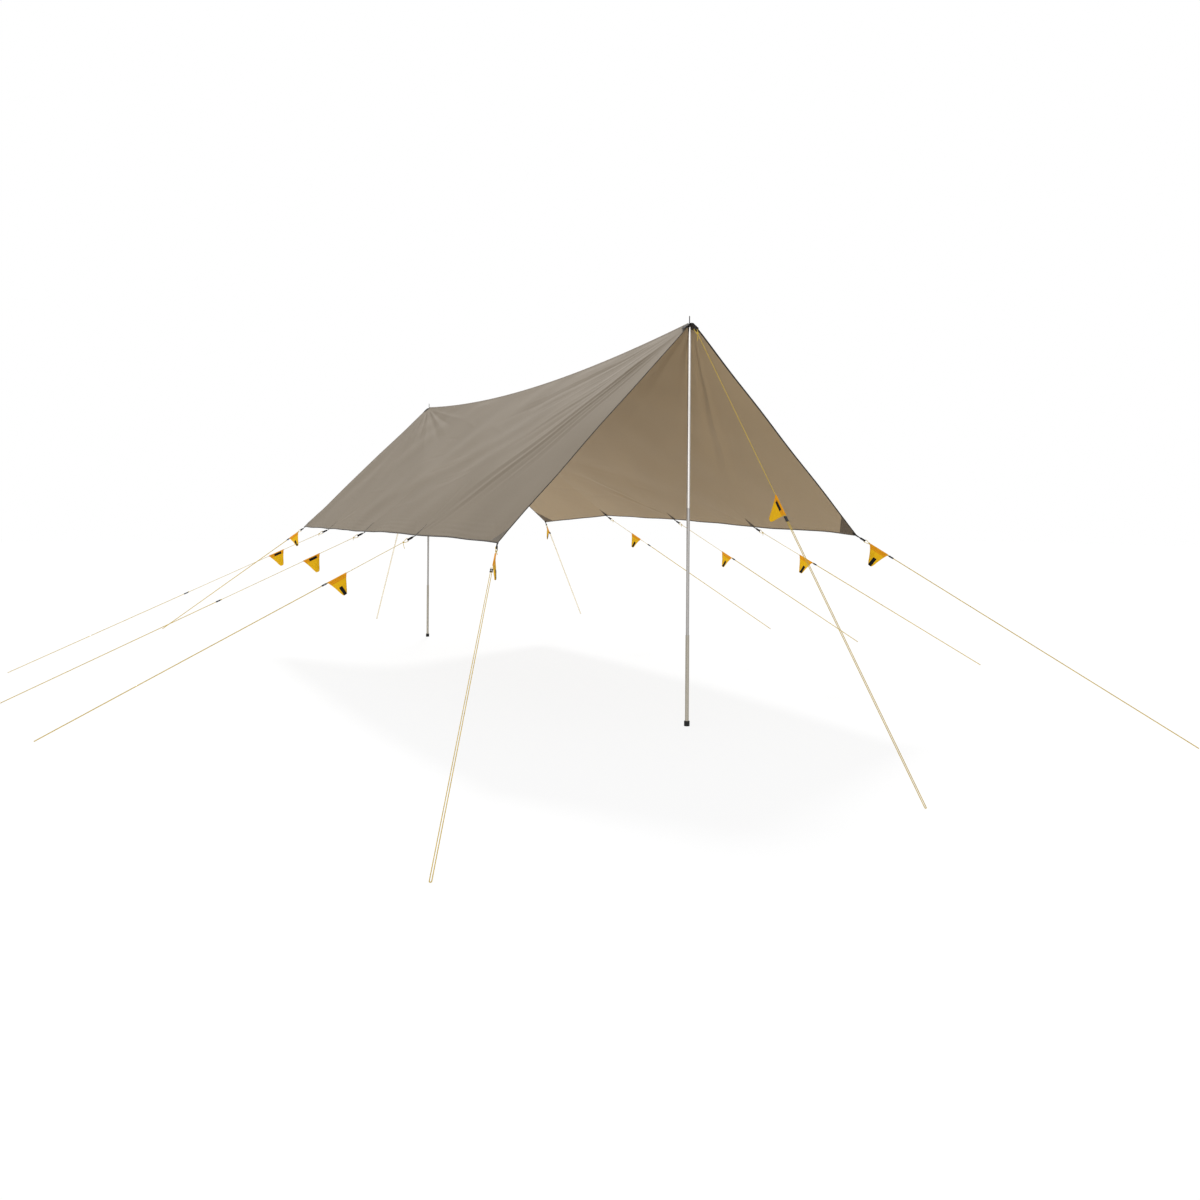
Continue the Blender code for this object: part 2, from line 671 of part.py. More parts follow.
def bored_solid(name, rings, bores, smooth=False):
    # Skin over rings of points along X, with straight bores from the first ring's plane to the last's
    bm = bmesh.new()
    skins = [[bm.verts.new(spot) for spot in ring] for ring in rings]
    for a, b in zip(skins, skins[1:]):
        for i in range(len(a)):
            j = (i + 1) % len(a)
            bm.faces.new((a[i], a[j], b[j], b[i]))
    ends = {0: [skins[0]], 1: [skins[-1]]}
    for y, z, radius in bores:
        turns = [2 * math.pi * (step + 0.5) / BORE_SIDES for step in range(BORE_SIDES)]
        pair = [[bm.verts.new((x, y + radius * math.cos(t), z + radius * math.sin(t))) for t in turns]
                for x in (rings[0][0][0], rings[-1][0][0])]
        for i in range(BORE_SIDES):
            j = (i + 1) % BORE_SIDES
            bm.faces.new((pair[0][i], pair[1][i], pair[1][j], pair[0][j]))
        ends[0].append(pair[0])
        ends[1].append(pair[1])
    for loops in ends.values():
        edges = [bm.edges.get((loop[i], loop[(i + 1) % len(loop)])) for loop in loops for i in range(len(loop))]
        bmesh.ops.triangle_fill(bm, use_beauty=True, edges=edges)
    return finish_mesh(bm, name, smooth)


def bore_radius():
    # Polygon radius whose flats clear the cord's corners
    return (CORD_RADIUS + SLIP) / math.cos(math.pi / BORE_SIDES)


def pocket_mesh():
    # Flat bag with a sewn sleeve round the line, which tapers to a blunt end
    sleeve = bore_radius() + SLEEVE_WALL
    half_mouth = POCKET_MOUTH / 2
    half_end = POCKET_END / 2
    half_hem = POCKET_HEM_THICKNESS / 2
    falling = [(half_mouth + (half_end - half_mouth) * index / (len(POCKET_SLANT) - 1), *shares)
               for index, shares in enumerate(POCKET_SLANT)]
    stations = [(-x, share, fullness) for x, share, fullness in falling] + falling[::-1]
    rings = []
    for x, share, fullness in stations:
        hang = (POCKET_DEPTH - sleeve) * share
        bulge = half_hem + (POCKET_HALF_THICKNESS - half_hem) * fullness
        ring = [(sleeve * math.cos(math.radians(a)), sleeve * math.sin(math.radians(a))) for a in SLEEVE_ANGLES]
        drop = [(-bulge * wide, -sleeve - hang * down) for down, wide in POCKET_FACE]
        drop.append((-half_hem, -sleeve - hang))
        ring += drop + [(-y, z) for y, z in reversed(drop)]
        rings.append([(x, y, z) for y, z in ring])
    return bored_solid("pocket", rings, [(0, 0, bore_radius())])


def slider_mesh():
    # Moulded block with a bore for each strand
    half_width = STRAND_SPACING / 2 + bore_radius() + SLIDER_SIDE_WALL - SLIP
    middle = -STRAND_SPACING / 2
    half_height = SLIDER_THICKNESS / 2
    rings = []
    for x, inset in ((-1, 1), (-1, 0), (1, 0), (1, 1)):
        wide = half_width - inset * SLIDER_CHAMFER
        high = half_height - inset * SLIDER_CHAMFER
        corner = SLIDER_CHAMFER * 2
        at = x * (SLIDER_LENGTH / 2 - (1 - inset) * SLIDER_CHAMFER)
        outline = [(wide - corner, high), (-wide + corner, high),
                   (-wide, high - corner), (-wide, -high + corner),
                   (-wide + corner, -high), (wide - corner, -high),
                   (wide, -high + corner), (wide, high - corner)]
        rings.append([(at, middle + y, z) for y, z in outline])
    return bored_solid("slider", rings, [(0, 0, bore_radius()), (-STRAND_SPACING, 0, bore_radius())])


def add_guy_lines(parent):
    pocket = pocket_mesh()
    slider = slider_mesh()
    for name, (_, _, pocket_from, slider_at) in GUY_LINES.items():
        add_guy_line(name, parent)
        place("pocket_" + name, pocket, "pocket_cloth", parent,
              line_matrix(name, pocket_from + POCKET_MOUTH / 2))
        place("slider_" + name, slider, "black_plastic", parent, line_matrix(name, slider_at))


# Poles, drawn upright at the origin with the row of holes facing +Y

TOP_HOLE = LOWEST_HOLE + HOLE_SPACING * (HOLE_COUNT - 1)
BORE_OF_INNER = INNER_TUBE_RADIUS - TUBE_WALL
BORE_OF_OUTER = OUTER_TUBE_RADIUS - TUBE_WALL


def tube(name, outer, inner, low, high, parent, holes=()):
    bm = bmesh.new()
    lathe(bm, [(outer, low), (outer, high), (inner, high), (inner, low)], TUBE_SIDES)
    thing = place(name, finish_mesh(bm, name, smooth=True), "pole_aluminium", parent)
    if holes:
        cutters = bmesh.new()
        for z in holes:
            add_cylinder(cutters, Vector((0, outer, z)), HOLE_RADIUS, outer, "Y")
        cut_with(thing, name + "_hole_cutter", cutters)
    return thing


def add_top_tube(name, parent, high):
    # Upper section, necked at its foot to plug into the section below
    outer, inner = INNER_TUBE_RADIUS, BORE_OF_INNER
    neck = inner - GAP
    low = SECTION_JOINT - SPIGOT_LENGTH
    seat = SECTION_JOINT + GAP
    profile = [(outer, seat), (outer, high), (inner, high), (inner, seat + TUBE_WALL * 2),
               (neck - TUBE_WALL, seat + TUBE_WALL), (neck - TUBE_WALL, low), (neck, low), (neck, seat)]
    bm = bmesh.new()
    lathe(bm, profile, TUBE_SIDES)
    place(name, finish_mesh(bm, name, smooth=True), "pole_aluminium", parent)


def add_tip(name, parent, shoulder):
    # Turned plug in the tube's top with a collar and the spike that goes through the eyelet
    seat = shoulder - COLLAR_HEIGHT
    plug = BORE_OF_INNER - GAP
    profile = [(0, seat - PLUG_LENGTH), (plug, seat - PLUG_LENGTH), (plug, seat), (INNER_TUBE_RADIUS, seat),
               (INNER_TUBE_RADIUS, shoulder), (SPIKE_RADIUS, shoulder),
               (SPIKE_RADIUS, shoulder + SPIKE_HEIGHT - SPIKE_TAPER),
               (SPIKE_END_RADIUS, shoulder + SPIKE_HEIGHT), (0, shoulder + SPIKE_HEIGHT)]
    bm = bmesh.new()
    lathe(bm, profile, TUBE_SIDES)
    place(name, finish_mesh(bm, name, smooth=True), "spring_steel", parent)


def add_foot(name, parent):
    wall_top = BORE_OF_OUTER + TUBE_WALL + GAP
    profile = [(0, 0), (FOOT_RADIUS - FOOT_CHAMFER, 0), (FOOT_RADIUS, FOOT_CHAMFER),
               (FOOT_RADIUS, FOOT_HEIGHT - FOOT_CHAMFER), (FOOT_RADIUS - FOOT_CHAMFER, FOOT_HEIGHT),
               (wall_top, FOOT_HEIGHT), (wall_top, FOOT_FLOOR), (0, FOOT_FLOOR)]
    bm = bmesh.new()
    lathe(bm, profile, TUBE_SIDES)
    place(name, finish_mesh(bm, name, smooth=True), "foot_rubber", parent)


def add_snap_button(name, parent):
    # Folded strip spring inside the inner tube with the button that goes through both walls
    strip = bmesh.new()
    far = -(math.sqrt(BORE_OF_INNER ** 2 - (SPRING_WIDTH / 2) ** 2) - SPRING_STRIP)
    near = -far - SPRING_STRIP * 2
    low = TOP_HOLE - SPRING_WIDTH / 2
    crown = TOP_HOLE + SPRING_HEIGHT
    path = [Vector((0, far, low)), Vector((0, far, crown - SPRING_CROWN)), Vector((0, far / 2, crown)),
            Vector((0, 0, crown - SPRING_CROWN)), Vector((0, near, TOP_HOLE + SPRING_WIDTH / 2)),
            Vector((0, near, low))]
    ribbon(strip, path, SPRING_STRIP, SPRING_WIDTH, Vector((1, 0, 0)))
    spring = place(name, finish_mesh(strip, name), "spring_steel", parent)
    button = bmesh.new()
    reach = OUTER_TUBE_RADIUS + BUTTON_STANDS_OUT
    profile = [(0, near), (BUTTON_RADIUS, near), (BUTTON_RADIUS, reach - BUTTON_ROUNDING),
               (BUTTON_RADIUS - BUTTON_ROUNDING, reach), (0, reach)]
    lathe(button, profile, SMALL_SIDES)
    turn = Matrix.Translation((0, 0, TOP_HOLE)) @ Matrix.Rotation(math.radians(-90), 4, "X")
    bmesh.ops.transform(button, matrix=turn, verts=button.verts)
    cut_with(spring, name + "_button_shape", button, "UNION")


def add_pole(end, parent):
    # The row of holes faces the inside of the shelter
    _, _, shoulder = cap_levels()
    turn = Matrix.Rotation(0 if end == "front" else math.pi, 4, "Z")
    base = empty(end + "_pole", parent, Matrix.Translation((0, END_SIGN[end] * HALF_SPAN, 0)) @ turn)
    tube_top = shoulder - COLLAR_HEIGHT - GAP
    add_tip(end + "_pole_tip", base, shoulder)
    add_top_tube(end + "_top_tube", base, tube_top)
    tube(end + "_middle_tube", INNER_TUBE_RADIUS, BORE_OF_INNER, TOP_HOLE - TUBE_BELOW_BUTTON, SECTION_JOINT,
         base, [TOP_HOLE])
    tube(end + "_lower_tube", OUTER_TUBE_RADIUS, BORE_OF_OUTER, FOOT_FLOOR + GAP, FOOT_TUBE_TOP, base,
         [LOWEST_HOLE + HOLE_SPACING * step for step in range(HOLE_COUNT)])
    add_snap_button(end + "_snap_button", base)
    add_foot(end + "_foot", base)


def side_reach(side):
    # How far the webbing loops of one side stand out from the ridge
    tips = []
    for name in GUY_LINES:
        if name.startswith(side):
            frame = line_frame(name)
            tips.append(abs(frame["eye"].x + frame["direction"].x * (EYE_MID_RADIUS + WEBBING_THICKNESS / 2)))
    return max(tips)


clear_scene()
pitch = empty("pitch", None, Matrix.Translation(((side_reach("left") - side_reach("right")) / 2, 0, 0)))
add_panels(pitch)
add_ridge_tape(pitch)
for side in HEMS:
    add_binding(side, pitch)
for end in END_SIGN:
    add_cap(end, pitch)
    add_eyelet(end, pitch)
    add_ridge_loop(end, pitch)
    add_pole(end, pitch)
add_guy_lines(pitch)
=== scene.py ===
# Camping tarp: a ridge canopy on two telescopic poles, held out by twelve guy lines.
import math
import random

import bmesh
import bpy
import numpy as np
from mathutils import Matrix, Vector, noise


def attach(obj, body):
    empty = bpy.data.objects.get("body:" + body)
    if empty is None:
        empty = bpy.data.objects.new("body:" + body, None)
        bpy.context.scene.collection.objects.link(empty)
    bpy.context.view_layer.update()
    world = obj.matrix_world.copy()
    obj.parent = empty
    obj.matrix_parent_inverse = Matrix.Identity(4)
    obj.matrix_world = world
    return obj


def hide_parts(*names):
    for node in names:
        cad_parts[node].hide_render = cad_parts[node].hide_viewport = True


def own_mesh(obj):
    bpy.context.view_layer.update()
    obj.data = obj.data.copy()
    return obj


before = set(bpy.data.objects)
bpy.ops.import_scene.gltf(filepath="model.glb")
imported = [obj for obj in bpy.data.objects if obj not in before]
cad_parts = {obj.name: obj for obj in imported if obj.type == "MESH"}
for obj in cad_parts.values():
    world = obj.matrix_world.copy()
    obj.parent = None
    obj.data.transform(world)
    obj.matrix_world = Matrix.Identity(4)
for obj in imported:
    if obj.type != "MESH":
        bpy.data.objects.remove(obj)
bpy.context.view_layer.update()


# Camera, where the photographer stood

cameraView = {
    "place": (-2.7474, -6.887, 1.006),
    "yaw": 25.47,            # degrees to the right of +Y
    "roll": 0.39,
    "lens": 32.34,           # millimetres
    "sensor": 36,
    "shiftY": -0.0646,
    "farClip": 200,
}


def setCamera():
    data = bpy.data.cameras.new("camera")
    data.sensor_width = cameraView["sensor"]
    data.lens = cameraView["lens"]
    data.shift_y = cameraView["shiftY"]
    data.clip_end = cameraView["farClip"]
    camera = bpy.data.objects.new("camera", data)
    bpy.context.scene.collection.objects.link(camera)
    turn = (Matrix.Rotation(math.radians(-cameraView["yaw"]), 4, "Z") @ Matrix.Rotation(math.pi / 2, 4, "X")
            @ Matrix.Rotation(math.radians(cameraView["roll"]), 4, "Z"))
    camera.matrix_world = Matrix.Translation(cameraView["place"]) @ turn
    bpy.context.scene.camera = camera


setCamera()


# Pitch: the ridge runs along Y, and each slope goes down to five tie-outs, front corner to rear corner

pitch = {
    "middleX": -0.054373,
    "halfSpan": 2.25,        # ridge end to ridge end is this far each way, at the pole axes
    "overhang": 0.025,
    "height": 2.0,
    "sag": 0.095,
    "edgeRake": 0.020,
    "scallop": 0.003,
    "creaseHeight": 0.007,
    "creaseWidth": 0.110,
    "smoothAtRidge": 0.17,
    "hems": {                # distance out from the ridge, height
        "left": [(1.005, 0.910), (1.070, 0.930), (1.085, 0.935), (1.085, 0.945), (1.060, 0.950)],
        "right": [(1.045, 0.945), (1.135, 0.985), (1.195, 1.030), (1.190, 1.060), (1.110, 1.005)],
    },
}
stations = ["front_corner", "front", "middle", "rear", "rear_corner"]
outward = {"left": -1, "right": 1}
endSign = {"front": -1, "rear": 1}
halfLength = pitch["halfSpan"] + pitch["overhang"]


def ridgePoint(u):
    y = u * halfLength
    return Vector((pitch["middleX"], y, pitch["height"] - pitch["sag"] * (1 - (y / pitch["halfSpan"]) ** 2)))


def hemPoint(side, u):
    along = (u + 1) * 2
    first = min(int(along), 3)
    part = along - first
    hem = pitch["hems"][side]
    out, height = (a + (b - a) * part for a, b in zip(hem[first], hem[first + 1]))
    point = Vector((pitch["middleX"] + outward[side] * out, u * (halfLength - pitch["edgeRake"]), height))
    upSlope = (ridgePoint(u) - point).normalized()
    return point + upSlope * pitch["scallop"] * 4 * part * (1 - part)


slopeWidth = {side: (hemPoint(side, 0) - ridgePoint(0)).length for side in outward}


def slopeNormal(side, u):
    low, high = max(u - 0.02, -1), min(u + 0.02, 1)
    down = hemPoint(side, u) - ridgePoint(u)
    along = (ridgePoint(high) + hemPoint(side, high)) - (ridgePoint(low) + hemPoint(side, low))
    normal = down.cross(along).normalized()
    return normal if normal.z > 0 else -normal


def smoothStep(low, high, value):
    part = np.clip((value - low) / (high - low), 0, 1)
    return part * part * (3 - 2 * part)


def broadCreases(side, u, v):
    # The wide folds from both ridge ends to the tie-outs between the corners
    width = slopeWidth[side]
    s, t = u * halfLength, v * width
    height = 0
    for end in (-1, 1):
        for station in (-0.5, 0, 0.5):
            runS, runT = (station - end) * halfLength, width
            part = np.clip(((s - end * halfLength) * runS + t * runT) / (runS ** 2 + runT ** 2), 0, 1)
            off = np.hypot(s - end * halfLength - runS * part, t - runT * part)
            height = height + np.sin(np.pi * part) ** 2 * np.exp(-(off / pitch["creaseWidth"]) ** 2)
    return pitch["creaseHeight"] * height * np.minimum(v / pitch["smoothAtRidge"], 1) ** 2


# Fine folds of the cloth

clothFolds = {
    "seed": 11,
    "peakCount": {"front": 30, "rear": 16},
    "peakHeight": {"front": 0.0022, "rear": 0.0018},
    "peakShare": {"left": 1, "right": 0.55},
    "peakReach": {"front": (0.5, 2.1), "rear": (0.4, 1.3)},
    "peakFan": {"front": (3, 47), "rear": (4, 82)},     # degrees below the ridge
    "peakWidth": (0.012, 0.034),                        # at one metre, as for all folds
    "shortCount": 30,
    "shortHeight": 0.0016,
    "shortFan": (-22, 16),
    "shortAlong": (-1.2, 1.5),
    "shortDown": (0.25, 0.85),
    "shortWidth": (0.01, 0.05),
    "shortReach": (0.25, 0.6),
    "tieCount": 7,
    "tieHeight": 0.0016,
    "tieReach": (0.12, 0.55),
    "tieFan": (20, 160),
    "tieWidth": (0.03, 0.06),
    "narrowest": 0.006,
    "swellsBy": (0.03, 0.20),        # metres from the start, and share of the reach
    "fadesFrom": 0.65,               # share of the reach
    "crest": 1.5,                    # power in a fold's section
    "flatAtSeam": (0.015, 0.10),     # metres from the ridge seam
    "waveCount": 12,
    "wavePace": (4, 15),
    "billowHeight": 0.0009,
    "hemFlutter": 0.0008,
    "hemFlutterReach": 0.16,
    "rippleHeight": 0.0005,
    "ripplePace": 0.034,
    "rippleReach": 0.10,
    "drawn": [               # side, end, degrees below the ridge, height, width at one metre, reach
        ("left", "front", 46.0, 0.0120, 0.170, 1.95),
        ("left", "front", 8.0, 0.0030, 0.010, 2.10),
        ("left", "front", 11.0, -0.0035, 0.012, 2.20),
        ("left", "front", 37.8, 0.0030, 0.018, 1.30),
        ("left", "front", 41.2, -0.0030, 0.018, 1.30),
        ("left", "front", 47.4, 0.0028, 0.016, 1.80),
        ("left", "front", 50.2, -0.0026, 0.013, 1.80),
        ("left", "front", 52.4, 0.0026, 0.010, 1.95),
        ("left", "front", 54.4, -0.0022, 0.010, 1.95),
        ("left", "front", 58.6, -0.0016, 0.008, 1.50),
        ("left", "front", 60.6, 0.0016, 0.008, 1.50),
        ("left", "front", 64.0, -0.0014, 0.010, 1.30),
        ("left", "rear", 40.0, 0.0100, 0.150, 1.70),
        ("left", "rear", 8.5, 0.0030, 0.012, 1.70),
        ("left", "rear", 12.3, -0.0040, 0.014, 1.50),
        ("left", "rear", 15.2, 0.0036, 0.012, 1.60),
        ("left", "rear", 17.8, -0.0040, 0.014, 1.70),
        ("left", "rear", 22.8, 0.0036, 0.016, 1.80),
        ("left", "rear", 27.0, -0.0036, 0.018, 1.30),
        ("left", "rear", 31.0, 0.0030, 0.018, 1.60),
        ("left", "rear", 36.0, -0.0036, 0.020, 1.75),
        ("right", "front", 15.5, 0.0024, 0.028, 1.15),
        ("right", "front", 19.5, -0.0024, 0.024, 1.10),
        ("right", "front", 43.0, -0.0030, 0.012, 0.75),
        ("right", "front", 46.3, 0.0080, 0.034, 1.60),
        ("right", "front", 50.2, -0.0070, 0.022, 1.50),
    ],
    "stray": [               # side, start along and down, degrees up the slope, height, width at one metre, reach
        ("left", -1.00, 0.862, -9, 0.0016, 0.006, 0.62),
        ("left", -1.00, 0.900, -13, -0.0016, 0.006, 0.60),
        ("left", -0.98, 0.930, -18, 0.0014, 0.006, 0.50),
        ("right", 0.00, 1.450, 28, -0.0022, 0.022, 0.80),
        ("right", 0.00, 1.450, 34, 0.0036, 0.034, 1.00),
        ("right", 0.04, 1.450, 41, -0.0030, 0.030, 0.90),
    ],
}


def drawFolds():
    # One list of folds for each slope: start in metres along and down, direction, height, width, reach
    kinds = clothFolds
    shapes = random.Random(kinds["seed"])
    folds = {side: [] for side in outward}
    for side in outward:
        for end, sign in endSign.items():
            low, high = kinds["peakReach"][end]
            first, last = kinds["peakFan"][end]
            for index in range(kinds["peakCount"][end]):
                share = (index + shapes.uniform(0.1, 0.9)) / kinds["peakCount"][end]
                angle = math.radians(first + (last - first) * share ** 1.2)
                height = kinds["peakHeight"][end] * shapes.uniform(0.4, 1.3) * shapes.choice((-1, 1, 1))
                height *= kinds["peakShare"][side]
                reach = shapes.uniform(low, high) * (1.15 - 0.45 * share)
                folds[side].append((sign * halfLength, 0, -sign * math.cos(angle), math.sin(angle),
                                    height, shapes.uniform(*kinds["peakWidth"]), reach))
        for station in (-1, -0.5, 0, 0.5, 1):
            for index in range(kinds["tieCount"]):
                angle = math.radians(shapes.uniform(*kinds["tieFan"]))
                if station * math.cos(angle) > 0 and abs(station) == 1:
                    angle = math.pi - angle
                folds[side].append((station * halfLength, slopeWidth[side], math.cos(angle), -math.sin(angle),
                                    kinds["tieHeight"] * shapes.uniform(-1, 1), shapes.uniform(*kinds["tieWidth"]),
                                    shapes.uniform(*kinds["tieReach"])))
        for index in range(kinds["shortCount"]):
            angle = math.radians(shapes.uniform(*kinds["shortFan"]))
            folds[side].append((shapes.uniform(*kinds["shortAlong"]),
                                shapes.uniform(*kinds["shortDown"]) * slopeWidth[side],
                                math.cos(angle), math.sin(angle), kinds["shortHeight"] * shapes.uniform(-1, 1),
                                shapes.uniform(*kinds["shortWidth"]), shapes.uniform(*kinds["shortReach"])))
    for side, end, degrees, height, width, reach in kinds["drawn"]:
        angle = math.radians(degrees)
        folds[side].append((endSign[end] * halfLength, 0, -endSign[end] * math.cos(angle), math.sin(angle),
                            height, width, reach))
    for side, along, down, degrees, height, width, reach in kinds["stray"]:
        angle = math.radians(degrees)
        folds[side].append((along, down, math.cos(angle), -math.sin(angle), height, width, reach))
    waves = {side: [(shapes.uniform(*kinds["wavePace"]), shapes.uniform(0, math.tau), shapes.uniform(0, math.tau))
                    for _ in range(kinds["waveCount"])] for side in outward}
    return folds, waves


folds, waves = drawFolds()


def fineFolds(side, u, v):
    s, t = u * halfLength, v * slopeWidth[side]
    first, full = clothFolds["swellsBy"]
    height = 0
    for startS, startT, runS, runT, tall, wide, reach in folds[side]:
        along = (s - startS) * runS + (t - startT) * runT
        off = np.abs((s - startS) * runT - (t - startT) * runS)
        swell = smoothStep(first, full * reach, along) * (1 - smoothStep(clothFolds["fadesFrom"] * reach, reach, along))
        spread = clothFolds["narrowest"] + wide * np.maximum(along, 0)
        height = height + tall * swell * np.exp(-(off / spread) ** clothFolds["crest"])
    billow = 0
    for pace, turn, start in waves[side]:
        billow = billow + np.sin(pace * (s * math.cos(turn) + t * math.sin(turn)) + start)
    height = height + clothFolds["billowHeight"] * billow
    free = np.abs(np.sin(np.pi * 2 * (u + 1)))       # none at the tie-outs
    toHem = slopeWidth[side] - t
    flutter = np.exp(-toHem / clothFolds["hemFlutterReach"]) * np.sin(5.1 * s + 1.3)
    height = height - clothFolds["hemFlutter"] * free * flutter
    ripple = np.sin(math.tau * toHem / clothFolds["ripplePace"] + 1.3 * np.sin(2.3 * s) + 0.9 * np.sin(5.9 * s + 1))
    height = height + clothFolds["rippleHeight"] * free * np.exp(-toHem / clothFolds["rippleReach"]) * ripple
    return height * smoothStep(*clothFolds["flatAtSeam"], t)


def clothPoints(side, us, vs, lift=0.0, grid=True):
    # Points of the slope's surface: a row of them for each u, or without grid one for each pair of u and v
    us, vs = np.asarray(us, float), np.asarray(vs, float)
    rails = ridgePoint, lambda u: hemPoint(side, u), lambda u: slopeNormal(side, u)
    ridge, hem, normals = (np.array([rail(u) for u in us]) for rail in rails)
    if grid:
        us, vs = np.meshgrid(us, vs, indexing="ij")
        ridge, hem, normals = ridge[:, None], hem[:, None], normals[:, None]
    height = broadCreases(side, us, vs) + fineFolds(side, us, vs) + lift
    part = vs[..., None]
    return ridge * (1 - part) + hem * part + normals * height[..., None]


def clothAt(side, pairs, lift=0.0):
    return [Vector(spot) for spot in clothPoints(side, *zip(*pairs), lift=lift, grid=False)]


# Guy lines: peg place from the ridge's middle, start of the pocket and middle of the slider along the line

guyLines = {
    "left_front_corner": (-1.82, -3.98, 0.104, 0.264),
    "left_front": (-2.90, -1.41, 0.439, 0.572),
    "left_middle": (-3.11, -0.20, 0.320, 0.990),
    "left_rear": (-3.15, 1.10, 0.356, 1.080),
    "left_rear_corner": (-2.06, 3.78, 0.085, 0.218),
    "right_front_corner": (1.86, -3.65, 0.085, 0.218),
    "right_front": (3.11, -1.07, 0.406, 0.539),
    "right_middle": (3.26, 0.48, 0.545, 0.678),
    "right_rear": (3.21, 1.71, 0.318, 0.540),
    "right_rear_corner": (2.21, 3.89, 0.085, 0.218),
    "front_ridge": (0.0, -3.94, 1.130, 1.263),
    "rear_ridge": (0.0, 4.09, 1.130, 1.263),
}
lineShape = {
    "diameter": 0.003,
    "spacing": 0.007,        # between the two strands below the slider
    "offGround": 0.0003,
    "knotFromEye": 0.028,
    "clearOfLoop": 0.003,
    "loopReach": 0.050,
    "bendOut": 0.003,
    "hemSeat": -0.00315,     # the loop's middle below the cloth
    "ridgeSeat": 0.00175,    # and above the cap
    "ridgeTop": 1.99185,
    "webbingWidth": 0.012,
    "twist": 78.0,           # degrees that a hem loop turns before the line's eye
    "sliderLength": 0.028,
    "sliderTail": 0.0015,
    "sides": 10,
    "bightSteps": 16,
}


def lineFrame(name):
    # Where a line runs: the eye of its loop, its direction, and the axes of loop and strands
    pegX, pegY, _, _ = guyLines[name]
    onRidge = name.endswith("ridge")
    peg = Vector((pegX + pitch["middleX"], pegY, lineShape["diameter"] / 2 + lineShape["offGround"]))
    if onRidge:
        point = Vector((pitch["middleX"], endSign[name.split("_")[0]] * halfLength, lineShape["ridgeTop"]))
        normal, seat = Vector((0, 0, 1)), lineShape["ridgeSeat"]
    else:
        side, station = name.split("_", 1)
        u = -1 + stations.index(station) / 2
        point, normal, seat = hemPoint(side, u), slopeNormal(side, u), lineShape["hemSeat"]
    direction = (peg - point).normalized()
    for _ in range(5):           # the eye's place and the line's direction settle together
        out = (direction - normal * direction.dot(normal)).normalized()
        bend = point + normal * seat + out * lineShape["bendOut"]
        eye = bend + direction * (lineShape["loopReach"] - lineShape["bendOut"])
        direction = (peg - eye).normalized()
    level = direction.cross(Vector((0, 0, 1))).normalized()
    across = normal.cross(direction).normalized()
    twist = 0 if onRidge else math.radians(lineShape["twist"])
    return {"bend": bend, "eye": eye, "direction": direction, "out": out, "normal": normal,
            "across": across, "twist": twist, "eyeAcross": Matrix.Rotation(twist, 3, direction) @ across,
            "level": level, "up": level.cross(direction), "length": (peg - eye).length}


lineFrames = {name: lineFrame(name) for name in guyLines}


def smoothed(points, steps):
    # Curve through the points
    ends = [points[0] * 2 - points[1]] + list(points) + [points[-1] * 2 - points[-2]]
    found = []
    for a, b, c, d in zip(ends, ends[1:], ends[2:], ends[3:]):
        for step in range(steps):
            t = step / steps
            found.append(0.5 * (2 * b + (c - a) * t + (2 * a - 5 * b + 4 * c - d) * t ** 2
                                + (3 * b - a - 3 * c + d) * t ** 3))
    return found + [points[-1]]


def lineRoute(name):
    # Tied eye, down to the peg, round it and back up to the slider
    shape, lines = lineShape, lineFrames[name]
    eye, along, level = lines["eye"], lines["direction"], lines["level"]
    half, tied = shape["webbingWidth"] / 2, shape["knotFromEye"]
    side, bend = half + shape["clearOfLoop"], shape["clearOfLoop"] + shape["diameter"] / 2
    back = [(0, half), (bend * 0.2, side * 0.95), (bend, side)]
    going = [(a, -b) for a, b in reversed(back)]
    flat = ([(tied, -shape["diameter"] * 1.25), (tied * 0.7, -side * 0.65), (tied * 0.4, -side * 0.9)] + going + back
            + [(tied * 0.4, side * 0.85), (tied * 0.7, side * 0.45), (tied, side * 0.15), (tied * 1.3, 0)])
    points = smoothed([eye + along * a + lines["eyeAcross"] * b for a, b in flat], 4)
    radius, steps = shape["spacing"] / 2, shape["bightSteps"]
    for step in range(steps + 1):
        turn = math.pi * (step / steps - 0.5)
        points.append(eye + along * (lines["length"] - radius + radius * math.cos(turn))
                      + level * radius * (1 + math.sin(turn)))
    tail = guyLines[name][3] - shape["loopReach"] - shape["sliderLength"] / 2 - shape["sliderTail"]
    points.append(eye + along * tail + level * shape["spacing"])
    return points


# Making and dressing meshes

def addObject(name, mesh, finish):
    thing = bpy.data.objects.new(name, mesh)
    bpy.context.scene.collection.objects.link(thing)
    if not mesh.materials:
        mesh.materials.append(finish)
    return thing


def skin(rings, closed=True, along=None, across=None, caps=False):
    # Mesh data between rings of points, with metres (or shares) across and along as UV
    count = len(rings[0])
    points = [tuple(spot) for ring in rings for spot in ring]
    across = across if across is not None else [j / count for j in range(count + 1)]
    along = along if along is not None else [i / (len(rings) - 1) for i in range(len(rings))]
    faces, uvs = [], []
    for i in range(len(rings) - 1):
        for j in range(count if closed else count - 1):
            k = (j + 1) % count
            faces.append((i * count + j, i * count + k, (i + 1) * count + k, (i + 1) * count + j))
            uvs += [(across[a], along[b]) for a, b in ((j, i), (j + 1, i), (j + 1, i + 1), (j, i + 1))]
    if caps:
        last = (len(rings) - 1) * count
        faces += [tuple(reversed(range(count))), tuple(range(last, last + count))]
        uvs += [(across[j], along[0]) for j in reversed(range(count))]
        uvs += [(across[j], along[-1]) for j in range(count)]
    return points, faces, uvs


